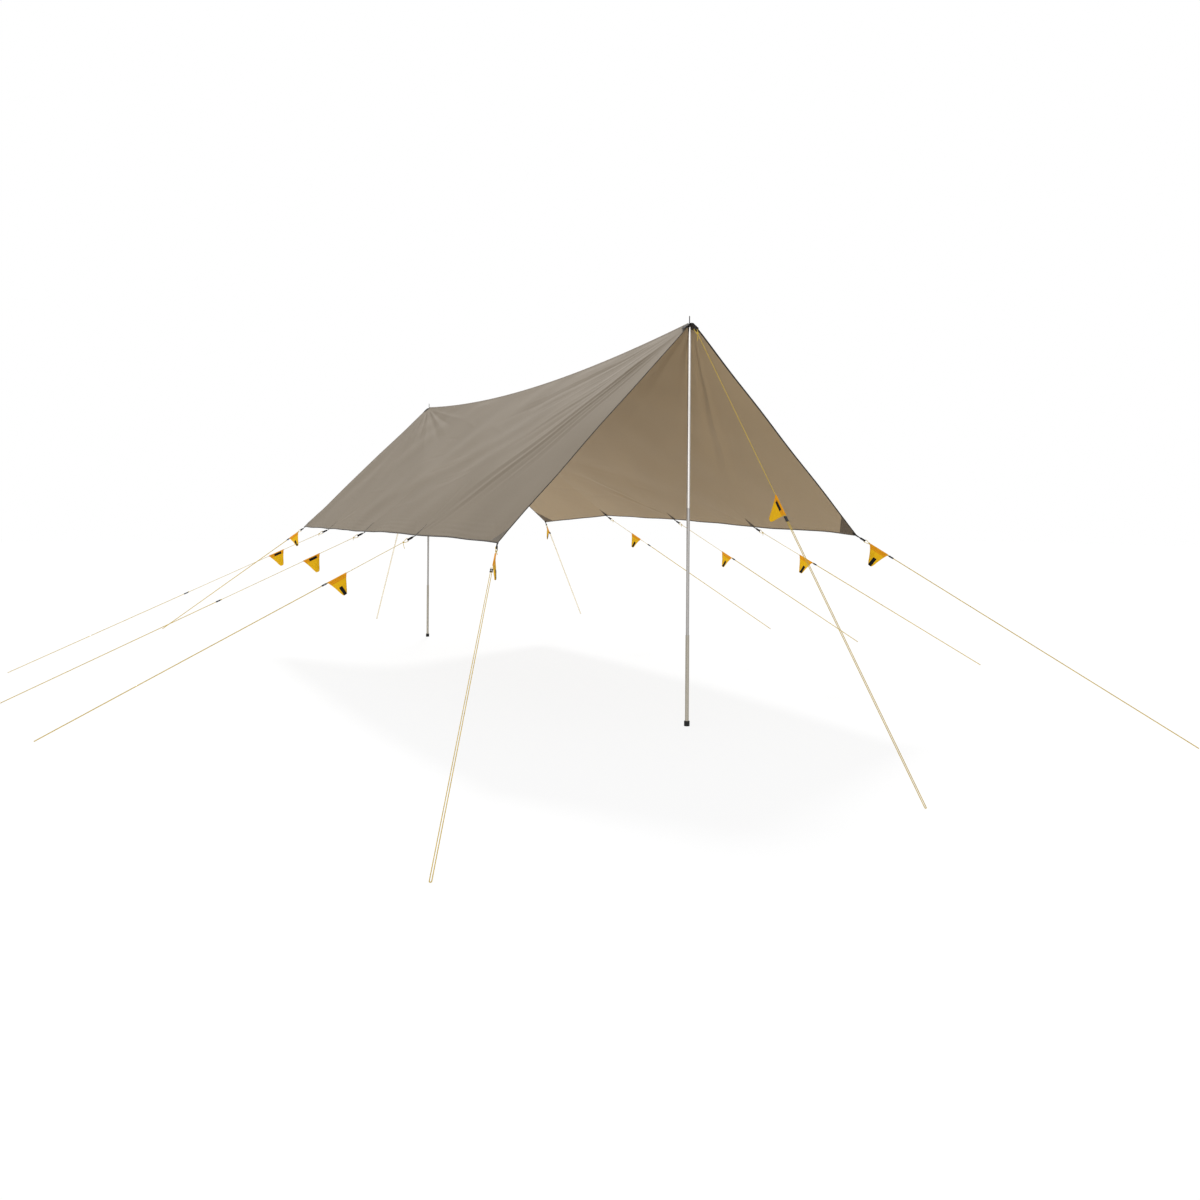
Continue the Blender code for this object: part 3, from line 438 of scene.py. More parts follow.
def toMesh(name, *parts, smooth=True, angle=35):
    # One mesh from several (points, faces, uvs)
    points, faces, uvs = [], [], []
    for somePoints, someFaces, someUvs in parts:
        start = len(points)
        points += somePoints
        faces += [tuple(index + start for index in face) for face in someFaces]
        uvs += someUvs
    mesh = bpy.data.meshes.new(name)
    mesh.from_pydata(points, [], faces)
    layer = mesh.uv_layers.new(name="metres")
    layer.data.foreach_set("uv", [value for uv in uvs for value in uv])
    mesh.update()
    if smooth:
        mesh.shade_smooth()
        mesh.set_sharp_from_angle(angle=math.radians(angle))
    return mesh


def measured(points):
    # Length along the points up to each of them
    lengths = [0.0]
    for a, b in zip(points, points[1:]):
        lengths.append(lengths[-1] + (b - a).length)
    return lengths


def runAt(points, index):
    return (points[min(index + 1, len(points) - 1)] - points[max(index - 1, 0)]).normalized()


def around(side, other, sides):
    # Directions round a circle
    turns = [math.tau * j / sides for j in range(sides)]
    return [side * math.cos(t) + other * math.sin(t) for t in turns]


def tube(points, radius, sides, caps=True):
    # Round strand along the points
    rings = []
    side = (points[1] - points[0]).normalized().orthogonal().normalized()
    for index, spot in enumerate(points):
        run = runAt(points, index)
        side = (side - run * side.dot(run)).normalized()
        rings.append([spot + way * radius for way in around(side, run.cross(side), sides)])
    return skin(rings, along=measured(points), caps=caps)


def lathe(profile, sides, centre=Vector((0, 0, 0)), axis=Vector((0, 0, 1)), closed=True):
    # Turn a profile of (radius, distance along the axis)
    side = axis.orthogonal().normalized()
    ways = around(side, axis.cross(side), sides)
    outline = profile + profile[:1] if closed else profile
    rings = [[centre + axis * z + way * max(r, 1e-6) for way in ways] for r, z in outline]
    return skin(rings, along=measured([Vector((r, z, 0)) for r, z in outline]))


def ribbon(points, widthAxis, width, thickness):
    # Flat strap along the points with rounded long edges; widthAxis is one axis, or one for each point
    axes = widthAxis if isinstance(widthAxis, list) else [widthAxis] * len(points)
    half, thin = width / 2, thickness / 2
    inset, soft = thin * 0.3, thin * 0.7 * 0.7       # of the rounded edge
    section = [(-half + thin, -thin), (half - thin, -thin), (half - inset, -soft), (half, 0), (half - inset, soft),
               (half - thin, thin), (-half + thin, thin), (-half + inset, soft), (-half, 0), (-half + inset, -soft)]
    rings = []
    for index, spot in enumerate(points):
        aside = axes[index].cross(runAt(points, index)).normalized()
        rings.append([spot + axes[index] * w + aside * h for w, h in section])
    lengths = measured([Vector((w, h, 0)) for w, h in section + section[:1]])
    return skin(rings, along=measured(points), across=lengths, caps=True)


def placed(part, matrix):
    points, faces, uvs = part
    return [tuple(matrix @ Vector(spot)) for spot in points], faces, uvs


def thickened(thing, thickness):
    plies = thing.modifiers.new("thickness", "SOLIDIFY")
    plies.thickness = thickness
    plies.offset = 0
    return plies


def keep(thing, body, slotName, *nodes):
    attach(thing, body)
    if nodes:
        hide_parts(*nodes)
    return thing


def addPiece(name, parts, finish, body, slotName, *nodes, angle=35):
    # Object of some parts in a finish, on its body, standing for the nodes
    return keep(addObject(name, toMesh(name, *parts, angle=angle), finishes[finish]), body, slotName, *nodes)


# Finishes

def toLinear(red, green, blue, scale=1.0):
    def linear(value):
        value /= 255
        return value / 12.92 if value <= 0.04045 else ((value + 0.055) / 1.055) ** 2.4
    return (linear(red) * scale, linear(green) * scale, linear(blue) * scale, 1)


def newFinish(name, colour, roughness, inputs={}):
    made = bpy.data.materials.new(name)
    made.use_nodes = True
    made.diffuse_color = toLinear(*colour)
    shader = made.node_tree.nodes["Principled BSDF"]
    feed(made.node_tree, shader, {"Base Color": toLinear(*colour), "Roughness": roughness, **inputs})
    return made, made.node_tree, shader


def feed(tree, node, inputs):
    # Each input gets a value, or the output that leads to it
    for name, value in inputs.items():
        if isinstance(value, bpy.types.NodeSocket):
            tree.links.new(value, node.inputs[name])
        else:
            node.inputs[name].default_value = value
    return node


def addNode(tree, kind, inputs, **settings):
    node = tree.nodes.new("ShaderNode" + kind)
    for name, value in settings.items():
        setattr(node, name, value)
    return feed(tree, node, inputs)


def mapped(tree, kind, scale, source, turn, inputs, **settings):
    where = addNode(tree, "TexCoord", {}).outputs[source]
    scale = scale if isinstance(scale, tuple) else (scale,) * 3
    spot = addNode(tree, "Mapping", {"Vector": where, "Scale": scale, "Rotation": (0, 0, turn)}).outputs["Vector"]
    return addNode(tree, kind, {"Vector": spot, **inputs}, **settings).outputs["Fac"]


def noiseMap(tree, scale, detail, source="UV", roughness=0.5):
    return mapped(tree, "TexNoise", scale, source, 0.0, {"Scale": 1, "Detail": detail, "Roughness": roughness})


def waveMap(tree, scale, direction, turn=0.0, size=1.0):
    return mapped(tree, "TexWave", scale, "UV", turn, {"Scale": size}, wave_type="BANDS", bands_direction=direction)


def sums(tree, operation, *values):
    return addNode(tree, "Math", dict(enumerate(values)), operation=operation).outputs[0]


def bumped(tree, shader, *layers):
    # Chain of bumps, each (height, strength, distance in metres)
    below = {}
    for height, strength, distance in layers:
        bump = addNode(tree, "Bump", {"Height": height, "Strength": strength, "Distance": distance, **below})
        below = {"Normal": bump.outputs["Normal"]}
    feed(tree, shader, below)


def shaded(tree, shader, factor, colour, dark, light):
    # Base colour between two shades of the finish's colour
    ramp = addNode(tree, "ValToRGB", {"Fac": factor})
    for element, place, shade in zip(ramp.color_ramp.elements, (0.3, 0.7), (dark, light)):
        element.position = place
        element.color = toLinear(*colour, shade)
    feed(tree, shader, {"Base Color": ramp.outputs["Color"]})


def clothFinish(name, colour, spread, roughness, sheen=0.0, threads=900.0, crinkle=0.35):
    made, tree, shader = newFinish(name, colour, roughness, {
        "Sheen Weight": sheen, "Sheen Roughness": 0.5, "Specular IOR Level": 0.2})
    shaded(tree, shader, noiseMap(tree, scale=1.7, detail=5), colour, dark=1 - spread, light=1 + spread)
    weave = sums(tree, "MULTIPLY", waveMap(tree, threads, "X"), waveMap(tree, threads, "Y"))
    creases = noiseMap(tree, scale=38, detail=6, roughness=0.6)
    bumped(tree, shader, (creases, crinkle, 0.0012), (weave, 0.25, 0.0002))
    return made


def webbingFinish(name, colour, ribs=650.0):
    made, tree, shader = newFinish(name, colour, 0.75, {"Sheen Weight": 0.02, "Specular IOR Level": 0.2})
    fuzz = noiseMap(tree, scale=420, detail=5)
    shaded(tree, shader, fuzz, colour, dark=0.72, light=1.25)
    herring = sums(tree, "MULTIPLY", waveMap(tree, ribs, "X", turn=0.9), waveMap(tree, ribs, "X", turn=-0.9))
    bumped(tree, shader, (herring, 0.7, 0.0004), (fuzz, 0.3, 0.0003))
    return made


def braidFinish(name, colour):
    # Round braid: two sets of yarns that cross round the cord
    made, tree, shader = newFinish(name, colour, 0.7, {"Sheen Weight": 0.02})
    yarns = [waveMap(tree, (6.0 * way, 900.0, 1), "DIAGONAL", size=0.5) for way in (1, -1)]
    shaded(tree, shader, noiseMap(tree, scale=(2, 30, 1), detail=4), colour, dark=0.88, light=1.08)
    bumped(tree, shader, (sums(tree, "MAXIMUM", *yarns), 0.6, 0.0004))
    return made


def metalFinish(name, colour, roughness, grain=(900, 900, 9)):
    # Drawn tube: fine scratches along its length
    made, tree, shader = newFinish(name, colour, roughness, {"Metallic": 1.0})
    drawn = noiseMap(tree, grain, detail=6, source="Object", roughness=0.65)
    feed(tree, shader, {"Roughness": sums(tree, "MULTIPLY_ADD", drawn, 0.22, roughness - 0.11)})
    stains = noiseMap(tree, scale=(14, 14, 3), detail=5, source="Object")
    shaded(tree, shader, stains, colour, dark=0.90, light=1.06)
    bumped(tree, shader, (drawn, 0.12, 0.0002))
    return made


def mouldedFinish(name, colour, roughness, grain=900.0, depth=0.3):
    made, tree, shader = newFinish(name, colour, roughness)
    stipple = noiseMap(tree, grain, detail=4, source="Object")
    shaded(tree, shader, noiseMap(tree, scale=60, detail=5, source="Object"), colour, dark=0.85, light=1.35)
    bumped(tree, shader, (stipple, depth, 0.0003))
    return made


finishes = {
    "cloth": clothFinish("canopy_cloth", (127, 116, 100), spread=0.035, roughness=0.72),
    # The inside face's brighter, warmer colour is painted light: it stands in for light shining through the cloth
    "clothInsidePaintedLight": clothFinish("canopy_cloth_inside_painted_light", (163, 143, 113), spread=0.030, roughness=0.62),
    "binding": webbingFinish("binding_webbing", (32, 27, 22)),
    "bindingPale": webbingFinish("binding_turned_cloth", (112, 101, 86)),
    "webbing": webbingFinish("loop_webbing", (24, 21, 19)),
    "patch": clothFinish("patch_cloth", (97, 84, 67), 0.06, 0.75, 0.02, threads=700.0, crinkle=0.2),
    "peakPatch": clothFinish("peak_patch_cloth", (60, 51, 41), 0.06, 0.75, 0.02, threads=700.0, crinkle=0.2),
    # Painted shade: the outside patches stand for the inner patches' shade showing through the cloth
    "paintedShadePatch": clothFinish("outer_patch_painted_shade", (104, 96, 84), 0.05, 0.72, 0.02, threads=700.0, crinkle=0.2),
    "seamTape": clothFinish("ridge_tape_cloth", (130, 120, 106), 0.035, 0.65, 0.02),
    "thread": mouldedFinish("stitch_thread", (40, 37, 34), 0.7),
    "pocketThread": mouldedFinish("pocket_thread", (176, 118, 18), 0.7),
    "palerThread": mouldedFinish("seam_thread", (120, 112, 100), 0.7),
    "cord": braidFinish("guy_cord", (202, 172, 60)),
    "pocket": clothFinish("pocket_cloth", (230, 178, 4), spread=0.05, roughness=0.7, threads=700.0, crinkle=0.6),
    # The band's deeper orange is painted shade: the double layer seen against the light
    "pocketBandPaintedShade": clothFinish("pocket_band_painted_shade", (224, 150, 4), spread=0.05, roughness=0.7, threads=700.0, crinkle=0.5),
    "tag": webbingFinish("tag_webbing", (12, 10, 10), ribs=900.0),
    "slider": mouldedFinish("slider_plastic", (13, 13, 14), 0.50),
    "pole": metalFinish("pole_aluminium", (204, 201, 197), 0.28),
    # The middle tube's darker colour is painted reflection: the dark surroundings it mirrors toward the joint
    "middleTubePaintedReflection": metalFinish("middle_tube_painted_dark_reflection", (166, 163, 160), 0.30),
    "footTube": metalFinish("foot_tube_aluminium", (166, 160, 148), 0.42),
    "steel": metalFinish("eyelet_steel", (164, 163, 160), 0.28, grain=(300, 300, 300)),
    "tipSteel": metalFinish("pole_tip_steel", (74, 72, 70), 0.38, grain=(300, 300, 300)),
    "rubber": mouldedFinish("foot_rubber", (20, 20, 20), 0.85, grain=500.0, depth=0.5),
}
print("finishes made")


def makeCords():
    for name in guyLines:
        strand = tube(lineRoute(name), lineShape["diameter"] / 2, lineShape["sides"])
        addPiece("cord_" + name, [strand], "cord", "canopy", "cord", "guy_line_" + name, angle=60)
    print("cords laid:", len(guyLines))


makeCords()


# Canopy panels

panel = {
    "alongCells": 460,
    "acrossCells": 150,
    "crowd": (0.62, 0.45),   # of the cells toward the ends, along and across
    "thickness": 0.0007,
    "flat": (1.48, 4.55),    # each slope's cut: ridge to hem, end to end
    "fromRidge": 0.0015,
    "underBinding": 0.005,   # the cloth's edge lies this far inside the binding
    "notchHalf": 0.014,
    "notchLength": 0.039,
}


def gridLines(low, high, cells, crowd):
    # Lines from low to high, closer together toward both ends
    found = []
    for step in range(cells + 1):
        w = 2 * step / cells - 1
        w = (1 - crowd) * w + crowd * math.sin(math.pi / 2 * w)
        found.append(low + (high - low) * (w + 1) / 2)
    return found


def slopePart(side, us, vs, wanted):
    # Mesh data of the slope's cells for which wanted(i, j) holds, with metres as UV, and a list of those cells
    alongUv, downUv = [u * halfLength for u in us], [v * slopeWidth[side] for v in vs]
    points, faces, uvs = skin(clothPoints(side, us, vs), False, alongUv, downUv)
    cells = [divmod(i, len(vs) - 1) for i in range(len(faces))]
    chosen = [i for i, cell in enumerate(cells) if wanted(*cell)]
    found = points, [faces[i] for i in chosen], [uv for i in chosen for uv in uvs[4 * i:4 * i + 4]]
    return found, [cells[i] for i in chosen]


def makePanels():
    inset = panel["underBinding"]
    alongCrowd, acrossCrowd = panel["crowd"]
    end, notchU = 1 - inset / halfLength, 1 - panel["notchLength"] / halfLength
    for side in outward:
        name, width = side + "_slope", slopeWidth[side]
        notchV = panel["notchHalf"] / width
        us = sorted(gridLines(-end, end, panel["alongCells"], alongCrowd) + [-notchU, notchU])
        vs = gridLines(panel["fromRidge"] / width, 1 - inset / width, panel["acrossCells"], acrossCrowd)
        vs = sorted(vs + [notchV])
        (points, faces, uvs), _ = slopePart(side, us, vs, lambda i, j: vs[j] >= notchV - 1e-9
                                            or abs(us[i] + us[i + 1]) / 2 <= notchU)
        if side == "left":       # faces look up
            faces = [tuple(reversed(face)) for face in faces]
            uvs = [uv for i in range(len(faces)) for uv in reversed(uvs[4 * i:4 * i + 4])]
        mesh = toMesh(name, (points, faces, uvs), angle=80)
        mesh.materials.append(finishes["cloth"])
        # second slot for the inside face, whose colour holds painted light
        mesh.materials.append(finishes["clothInsidePaintedLight"])
        slope = addObject(name, mesh, finishes["cloth"])
        plies = thickened(slope, panel["thickness"])
        plies.material_offset, plies.material_offset_rim = 1, 0
        keep(slope, "canopy", "canopy_cloth", side + "_panel")
    print("panels stretched")


makePanels()


# Stitching and cutting

stitchShapes = {             # pitch, length, width, height
    "seam": (0.0042, 0.0028, 0.0006, 0.0003),
    "tack": (0.0017, 0.0016, 0.0011, 0.0005),
    "bag": (0.0034, 0.0024, 0.0005, 0.0003),
}


def stitches(points, normals, shape="seam"):
    # Row of threads that lie on a surface along the points
    step, length, width, height = stitchShapes[shape]
    lengths = measured(points)
    found = ([], [], [])
    index = 0
    for count in range(int(lengths[-1] / step)):
        at = (count + 0.5) * step
        while lengths[index + 1] < at:
            index += 1
        part = (at - lengths[index]) / (lengths[index + 1] - lengths[index])
        spot = points[index].lerp(points[index + 1], part)
        normal = normals[index].lerp(normals[index + 1], part).normalized()
        run = (points[index + 1] - points[index]).normalized()
        side = normal.cross(run)
        start = len(found[0])
        for a, b, c in ((-0.5, 0, 0), (-0.28, -0.5, 0), (-0.28, 0.5, 0), (-0.22, 0, 1),
                        (0.28, -0.5, 0), (0.28, 0.5, 0), (0.22, 0, 1), (0.5, 0, 0)):
            found[0].append(tuple(spot + run * a * length + side * b * width + normal * c * height))
        for face in ((0, 1, 3), (0, 3, 2), (1, 4, 6, 3), (3, 6, 5, 2), (4, 7, 6), (6, 7, 5)):
            found[1].append(tuple(start + corner for corner in face))
            found[2].extend([(0, 0)] * len(face))
    return found


def cutAway(thing, *cutters):
    tool = bpy.data.objects.new("cutter", toMesh("cutter", *cutters, smooth=False))
    bpy.context.scene.collection.objects.link(tool)
    cut = thing.modifiers.new("cut", "BOOLEAN")
    cut.operation = "DIFFERENCE"
    cut.solver = "EXACT"
    cut.object = tool
    bpy.context.view_layer.update()
    made = bpy.data.meshes.new_from_object(thing.evaluated_get(bpy.context.evaluated_depsgraph_get()))
    thing.modifiers.clear()
    thing.data = made
    made.shade_smooth()
    made.set_sharp_from_angle(angle=math.radians(35))
    bpy.data.objects.remove(tool, do_unlink=True)


def rod(start, end, radius, sides=24):
    return tube([start, end], radius, sides)


def filleted(points, radius, steps=6):
    # Polyline with its inner corners rounded
    found = [points[0]]
    for a, b, c in zip(points, points[1:], points[2:]):
        reach = min(radius, (b - a).length * 0.49, (c - b).length * 0.49)
        start, end = b + (a - b).normalized() * reach, b + (c - b).normalized() * reach
        for step in range(steps + 1):
            t = step / steps
            found.append(start * (1 - t) ** 2 + b * 2 * t * (1 - t) + end * t ** 2)
    return found + [points[-1]]


# Binding folded over the three free edges of each slope

binding = {
    "width": 0.010,
    "thickness": 0.0024,
    "foldRadius": 0.0009,
    "stitchIn": 0.0078,      # from the edge
    "darkEdge": 0.0045,      # width of the dark fold
    "endWider": 0.0060,      # wider by this on the right slope's ends
    "steps": (0, 0.0005, 0.0018, 0.0045, 0.0082, 0.0094, 0.0100),    # cell lines, in from the edge
    "acrossCells": 100,
    "acrossCrowd": 0.4,
    "seamSteps": (120, 380), # up each end and along the hem
}


def bindingMesh(side):
    # Strip along the free edges, dark at the fold
    width = slopeWidth[side]
    innerU, innerV = 1 - binding["width"] / halfLength, 1 - binding["width"] / width
    notchV = panel["notchHalf"] / width
    us = [u for u in gridLines(-1, 1, panel["alongCells"], panel["crowd"][0]) if abs(u) < innerU - 1e-4]
    us = sorted(us + [sign * (1 - step / halfLength) for step in binding["steps"] for sign in (-1, 1)])
    vs = gridLines(notchV, 1, binding["acrossCells"], binding["acrossCrowd"])
    vs = [notchV] + [v for v in vs if notchV < v < innerV - 1e-4] + [1 - step / width for step in binding["steps"]]
    vs.sort()
    part, cells = slopePart(side, us, vs, lambda i, j: abs(us[i] + us[i + 1]) / 2 > innerU - 1e-6
                            or vs[j] > innerV - 1e-6)
    mesh = toMesh(side + "_binding", part)
    mesh.materials.append(finishes["binding"])
    mesh.materials.append(finishes["bindingPale"])
    for polygon, (i, j) in zip(mesh.polygons, cells):
        fromEnd = (1 - abs(us[i] + us[i + 1]) / 2) * halfLength
        fromHem = (1 - (vs[j] + vs[j + 1]) / 2) * width
        dark = min(fromHem, fromEnd if side == "left" else fromEnd - binding["endWider"]) < binding["darkEdge"]
        polygon.material_index = 0 if dark else 1
    bm = bmesh.new()
    bm.from_mesh(mesh)
    bmesh.ops.delete(bm, geom=[vert for vert in bm.verts if not vert.link_faces], context="VERTS")
    bm.to_mesh(mesh)
    bm.free()
    return mesh


def makeBindings():
    for side in outward:
        tape = addObject(side + "_binding", bindingMesh(side), finishes["binding"])
        thickened(tape, binding["thickness"])
        soften = tape.modifiers.new("folded edge", "BEVEL")
        soften.width = binding["foldRadius"]
        soften.segments = 3
        soften.limit_method = "ANGLE"
        soften.angle_limit = math.radians(60)
        keep(tape, "canopy", "binding_webbing", side + "_edge_binding")
        width = slopeWidth[side]
        inU, inV = 1 - binding["stitchIn"] / halfLength, 1 - binding["stitchIn"] / width
        notchV = panel["notchHalf"] / width
        upEnd, alongHem = binding["seamSteps"]
        edge = ([(-inU, v) for v in np.linspace(notchV, inV, upEnd)]
                + [(u, inV) for u in np.linspace(-inU, inU, alongHem)][1:]
                + [(inU, v) for v in np.linspace(inV, notchV, upEnd)][1:])
        rows = []
        for way in (1, -1):
            spots = clothAt(side, edge, way * binding["thickness"] / 2)
            rows.append(stitches(spots, [slopeNormal(side, u) * way for u, _ in edge]))
        addPiece(side + "_binding_stitches", rows, "thread", "canopy", "binding_webbing")
    print("bindings sewn")


makeBindings()


# Tape over and under the ridge seam

ridgeTape = {
    "half": 0.010,
    "over": 0.00145,
    "under": 0.0010,
    "edgeOver": 0.0002,
    "stitchOut": 0.0068,
    "cells": 260,
    "crowd": 0.5,
    "uvStep": 0.0018,
}


def makeRidgeTape():
    notchU = 1 - panel["notchLength"] / halfLength
    us = gridLines(-notchU, notchU, ridgeTape["cells"], ridgeTape["crowd"])
    top, low, edge = ridgeTape["over"], -ridgeTape["under"], ridgeTape["edgeOver"]
    steep = {u: min(slopeNormal(side, u).z for side in outward) for u in us}
    lines = []
    for side, share, lift in (("left", 1, edge), ("left", 0.93, top), ("left", 0.35, top), (None, 0, top * 0.9),
                              ("right", 0.35, top), ("right", 0.93, top), ("right", 1, edge), ("right", 0.95, low),
                              ("right", 0.3, low), (None, 0, low), ("left", 0.3, low), ("left", 0.95, low)):
        if side:
            lines.append(clothAt(side, [(u, ridgeTape["half"] * share / slopeWidth[side]) for u in us], lift))
        else:
            lines.append([ridgePoint(u) + Vector((0, 0, lift / steep[u])) for u in us])
    rings = [list(ring) for ring in zip(*lines)]
    strip = skin(rings, along=measured([ring[3] for ring in rings]),
                 across=[ridgeTape["uvStep"] * j for j in range(len(lines) + 1)], caps=True)
    addPiece("ridge_seam", [strip], "seamTape", "canopy", "canopy_cloth", "ridge_tape")
    rows = []
    for side in outward:
        v = ridgeTape["stitchOut"] / slopeWidth[side]
        for way, lift in ((1, ridgeTape["over"]), (-1, ridgeTape["under"])):
            spots = clothAt(side, [(u, v) for u in us], way * lift)
            rows.append(stitches(spots, [slopeNormal(side, u) * way for u in us]))
    addPiece("ridge_stitches", rows, "palerThread", "canopy", "canopy_cloth")
    print("ridge seam taped")


makeRidgeTape()


# Patches at the tie-outs: reinforcement inside, and darker patches outside that are painted shade of the inner ones
# seen through the cloth

patch = {
    "halfBase": {-1: 0.030, 1: 0.015},                       # inside and outside
    "depth": 0.090,
    "cornerLegs": {-1: (0.150, 0.170), 1: (0.100, 0.100)},   # up the end and along the hem
    "peakLeg": 0.078,        # at the ridge's ends
    "fromHem": 0.004,
    "under": 0.00075,
    "thickness": 0.0007,
    "steps": (24, 8),        # down and across
    "uvStep": (0.004, 0.006),
    "blunt": 0.03,           # share of the depth that the tip lacks
    "seamSteps": 12,
    "stitchIn": 0.003,
    "stitchEnd": 0.016,
}


def mixed(a, b, part):
    return a[0] + (b[0] - a[0]) * part, a[1] + (b[1] - a[1]) * part


def patchPiece(name, side, apex, bases, face, finish):
    # Triangle of cloth on one face of the slope, with a seam along its free sides
    width = slopeWidth[side]
    (downs, acrosses), (downUv, acrossUv) = patch["steps"], patch["uvStep"]
    hem = 1 - patch["fromHem"] / width
    rings = []
    for i in range(downs + 1):
        first, last = (mixed(apex, base, max(i / downs, patch["blunt"])) for base in bases)
        spots = [mixed(first, last, k / acrosses) for k in range(acrosses + 1)]
        rings.append(clothAt(side, [(a, min(b, hem)) for a, b in spots], face * patch["under"]))
    cloth = skin(rings, False, [i * downUv for i in range(downs + 1)], [k * acrossUv for k in range(acrosses + 1)])
    thickened(addPiece(name, [cloth], finish, "canopy", "binding_webbing", angle=80), patch["thickness"])
    rows = []
    for base in bases:
        if abs(apex[0]) == 1 and base[0] == apex[0]:
            continue
        inward = -patch["stitchIn"] / halfLength * (1 if base[0] > apex[0] else -1)
        line = [mixed(apex, base, k / patch["seamSteps"]) for k in range(patch["seamSteps"] + 1)]
        spots = clothAt(side, [(a + inward, b) for a, b in line if b < 1 - patch["stitchEnd"] / width],
                        face * (patch["under"] + patch["thickness"] / 2))
        rows.append(stitches(spots, [slopeNormal(side, apex[0]) * face] * len(spots)))
    return rows


def makePatches():
    rows = []
    for side in outward:
        width = slopeWidth[side]
        for index, station in enumerate(stations):
            u = -1 + index / 2
            # the outside patch is painted shade of the inner one seen through the cloth
            for face, layer, finish in ((-1, "inner", "patch"), (1, "outer", "paintedShadePatch")):
                if abs(u) < 1:
                    apex = (u, 1 - patch["depth"] / width)
                    bases = [(u + way * patch["halfBase"][face] / halfLength, 1) for way in (-1, 1)]
                else:
                    upEnd, alongHem = patch["cornerLegs"][face]
                    apex = (u, 1 - upEnd / width)
                    bases = [(u, 1), (u - u * alongHem / halfLength, 1)]
                rows += patchPiece(f"{layer}_patch_{side}_{station}", side, apex, bases, face, finish)
        for end, sign in endSign.items():
            low = panel["notchHalf"] / width
            bases = [(sign, low), (sign - sign * patch["peakLeg"] / halfLength, low)]
            for face, layer in ((-1, "inner"), (1, "outer")):
                rows += patchPiece(f"{layer}_patch_{side}_{end}_ridge", side, (sign, patch["peakLeg"] / width), bases,
                                   face, "peakPatch")
    addPiece("patch_stitches", rows, "thread", "canopy", "binding_webbing")
    print("patches sewn")


makePatches()


# Webbing loops at the tie-outs, each folded round its line

loop = {
    "thickness": 0.0013,
    "slit": 0.0003,
    "roundLine": 0.0003,
    "tongue": 0.028,
    "ridgeSewn": 0.0159,
    "hemLift": 0.0004,
    "fillet": 0.004,
    "eyeArc": 115,           # degrees each way of the line's direction
    "eyeSteps": 14,
    "legSteps": 9,
    "twistPart": (0.05, 0.65),           # of the way from hem to throat
    # Tacks: rows, their distance, where they begin, and half their length as a share of the strap's width
    "hemTack": (5, 0.0016, 0.35, 0.42),  # begins at a share of the sewn part
    "eyeTack": (4, 0.0014, 0.001, 0.40), # begins so many metres from the throat
}


def loopPath(lines, root, throat, tipUp, eyeRadius, layer):
    # Middle line of the strap, out along one layer, round the eye and back, and its width's axis at each point
    along, bend = lines["direction"], lines["bend"]
    legs = []
    for way in (1, -1):
        corner = filleted([root + lines["normal"] * layer * way, bend + (lines["normal"] + tipUp) * layer * way / 2,
                           throat + tipUp * layer * way], loop["fillet"])
        steps = range(1, loop["legSteps"] + 1)
        legs.append(corner[:-1] + [corner[-2].lerp(corner[-1], step / loop["legSteps"]) for step in steps])
    steps = loop["eyeSteps"]
    turns = [math.radians(loop["eyeArc"] - 2 * loop["eyeArc"] * step / steps) for step in range(steps + 1)]
    arc = [lines["eye"] + (along * math.cos(t) + tipUp * math.sin(t)) * eyeRadius for t in turns]
    path, axes = legs[0] + arc + legs[1][::-1], []
    reach = (throat - bend).dot(along)
    for index, spot in enumerate(path):
        part = float(smoothStep(*loop["twistPart"], (spot - bend).dot(along) / reach))
        turned = Matrix.Rotation(lines["twist"] * part, 3, along)
        path[index] = bend + turned @ (spot - bend)
        axes.append(turned @ lines["across"])
    return path, axes


def makeLoops():
    layer = (loop["thickness"] + loop["slit"]) / 2
    face = layer + loop["thickness"] / 2
    eyeRadius = lineShape["diameter"] / 2 + loop["roundLine"] + loop["thickness"] / 2
    width = lineShape["webbingWidth"]
    for name, lines in lineFrames.items():
        along, normal = lines["direction"], lines["normal"]
        tipUp = along.cross(lines["across"])
        if tipUp.dot(normal) < 0:
            tipUp = -tipUp
        onRidge = name.endswith("ridge")
        sewn = loop["ridgeSewn"] if onRidge else loop["tongue"]
        root = lines["bend"] - lines["out"] * (sewn + lineShape["bendOut"])
        if not onRidge:
            root += normal * loop["hemLift"]
        throat = lines["eye"] - along * eyeRadius * 3
        path, axes = loopPath(lines, root, throat, tipUp, eyeRadius, layer)
        node = name.split("_")[0] + ("_ridge_loop" if onRidge else "_edge_binding")
        strap = ribbon(path, axes, width, loop["thickness"])
        addPiece("loop_" + name, [strap], "webbing", "canopy", "binding_webbing", node)
        # Bar tacks: rows of thread across the strap, where it leaves the hem and on both sides of the throat
        rows = []
        count, apart, begin, half = loop["hemTack"]
        way = 1 if onRidge else -1
        for step in range(count):
            middle = root + lines["out"] * (sewn * begin + step * apart) + normal * way * face
            ends = [middle + lines["across"] * end * width * half for end in (-1, 1)]
            rows.append(stitches(ends, [normal * way] * 2, "tack"))
        turnedUp = Matrix.Rotation(lines["twist"], 3, along) @ tipUp
        count, apart, begin, half = loop["eyeTack"]
        for way in (-1, 1):
            for step in range(count):
                spot = throat + turnedUp * way * face - along * begin - along * step * apart
                ends = [spot + lines["eyeAcross"] * end * width * half for end in (-1, 1)]
                rows.append(stitches(ends, [turnedUp * way] * 2, "tack"))
        addPiece(f"loop_{name}_tacks", rows, "thread", "canopy", "binding_webbing")
    print("loops sewn:", len(lineFrames))


makeLoops()


# Webbing caps over the ridge ends, each with a steel eyelet

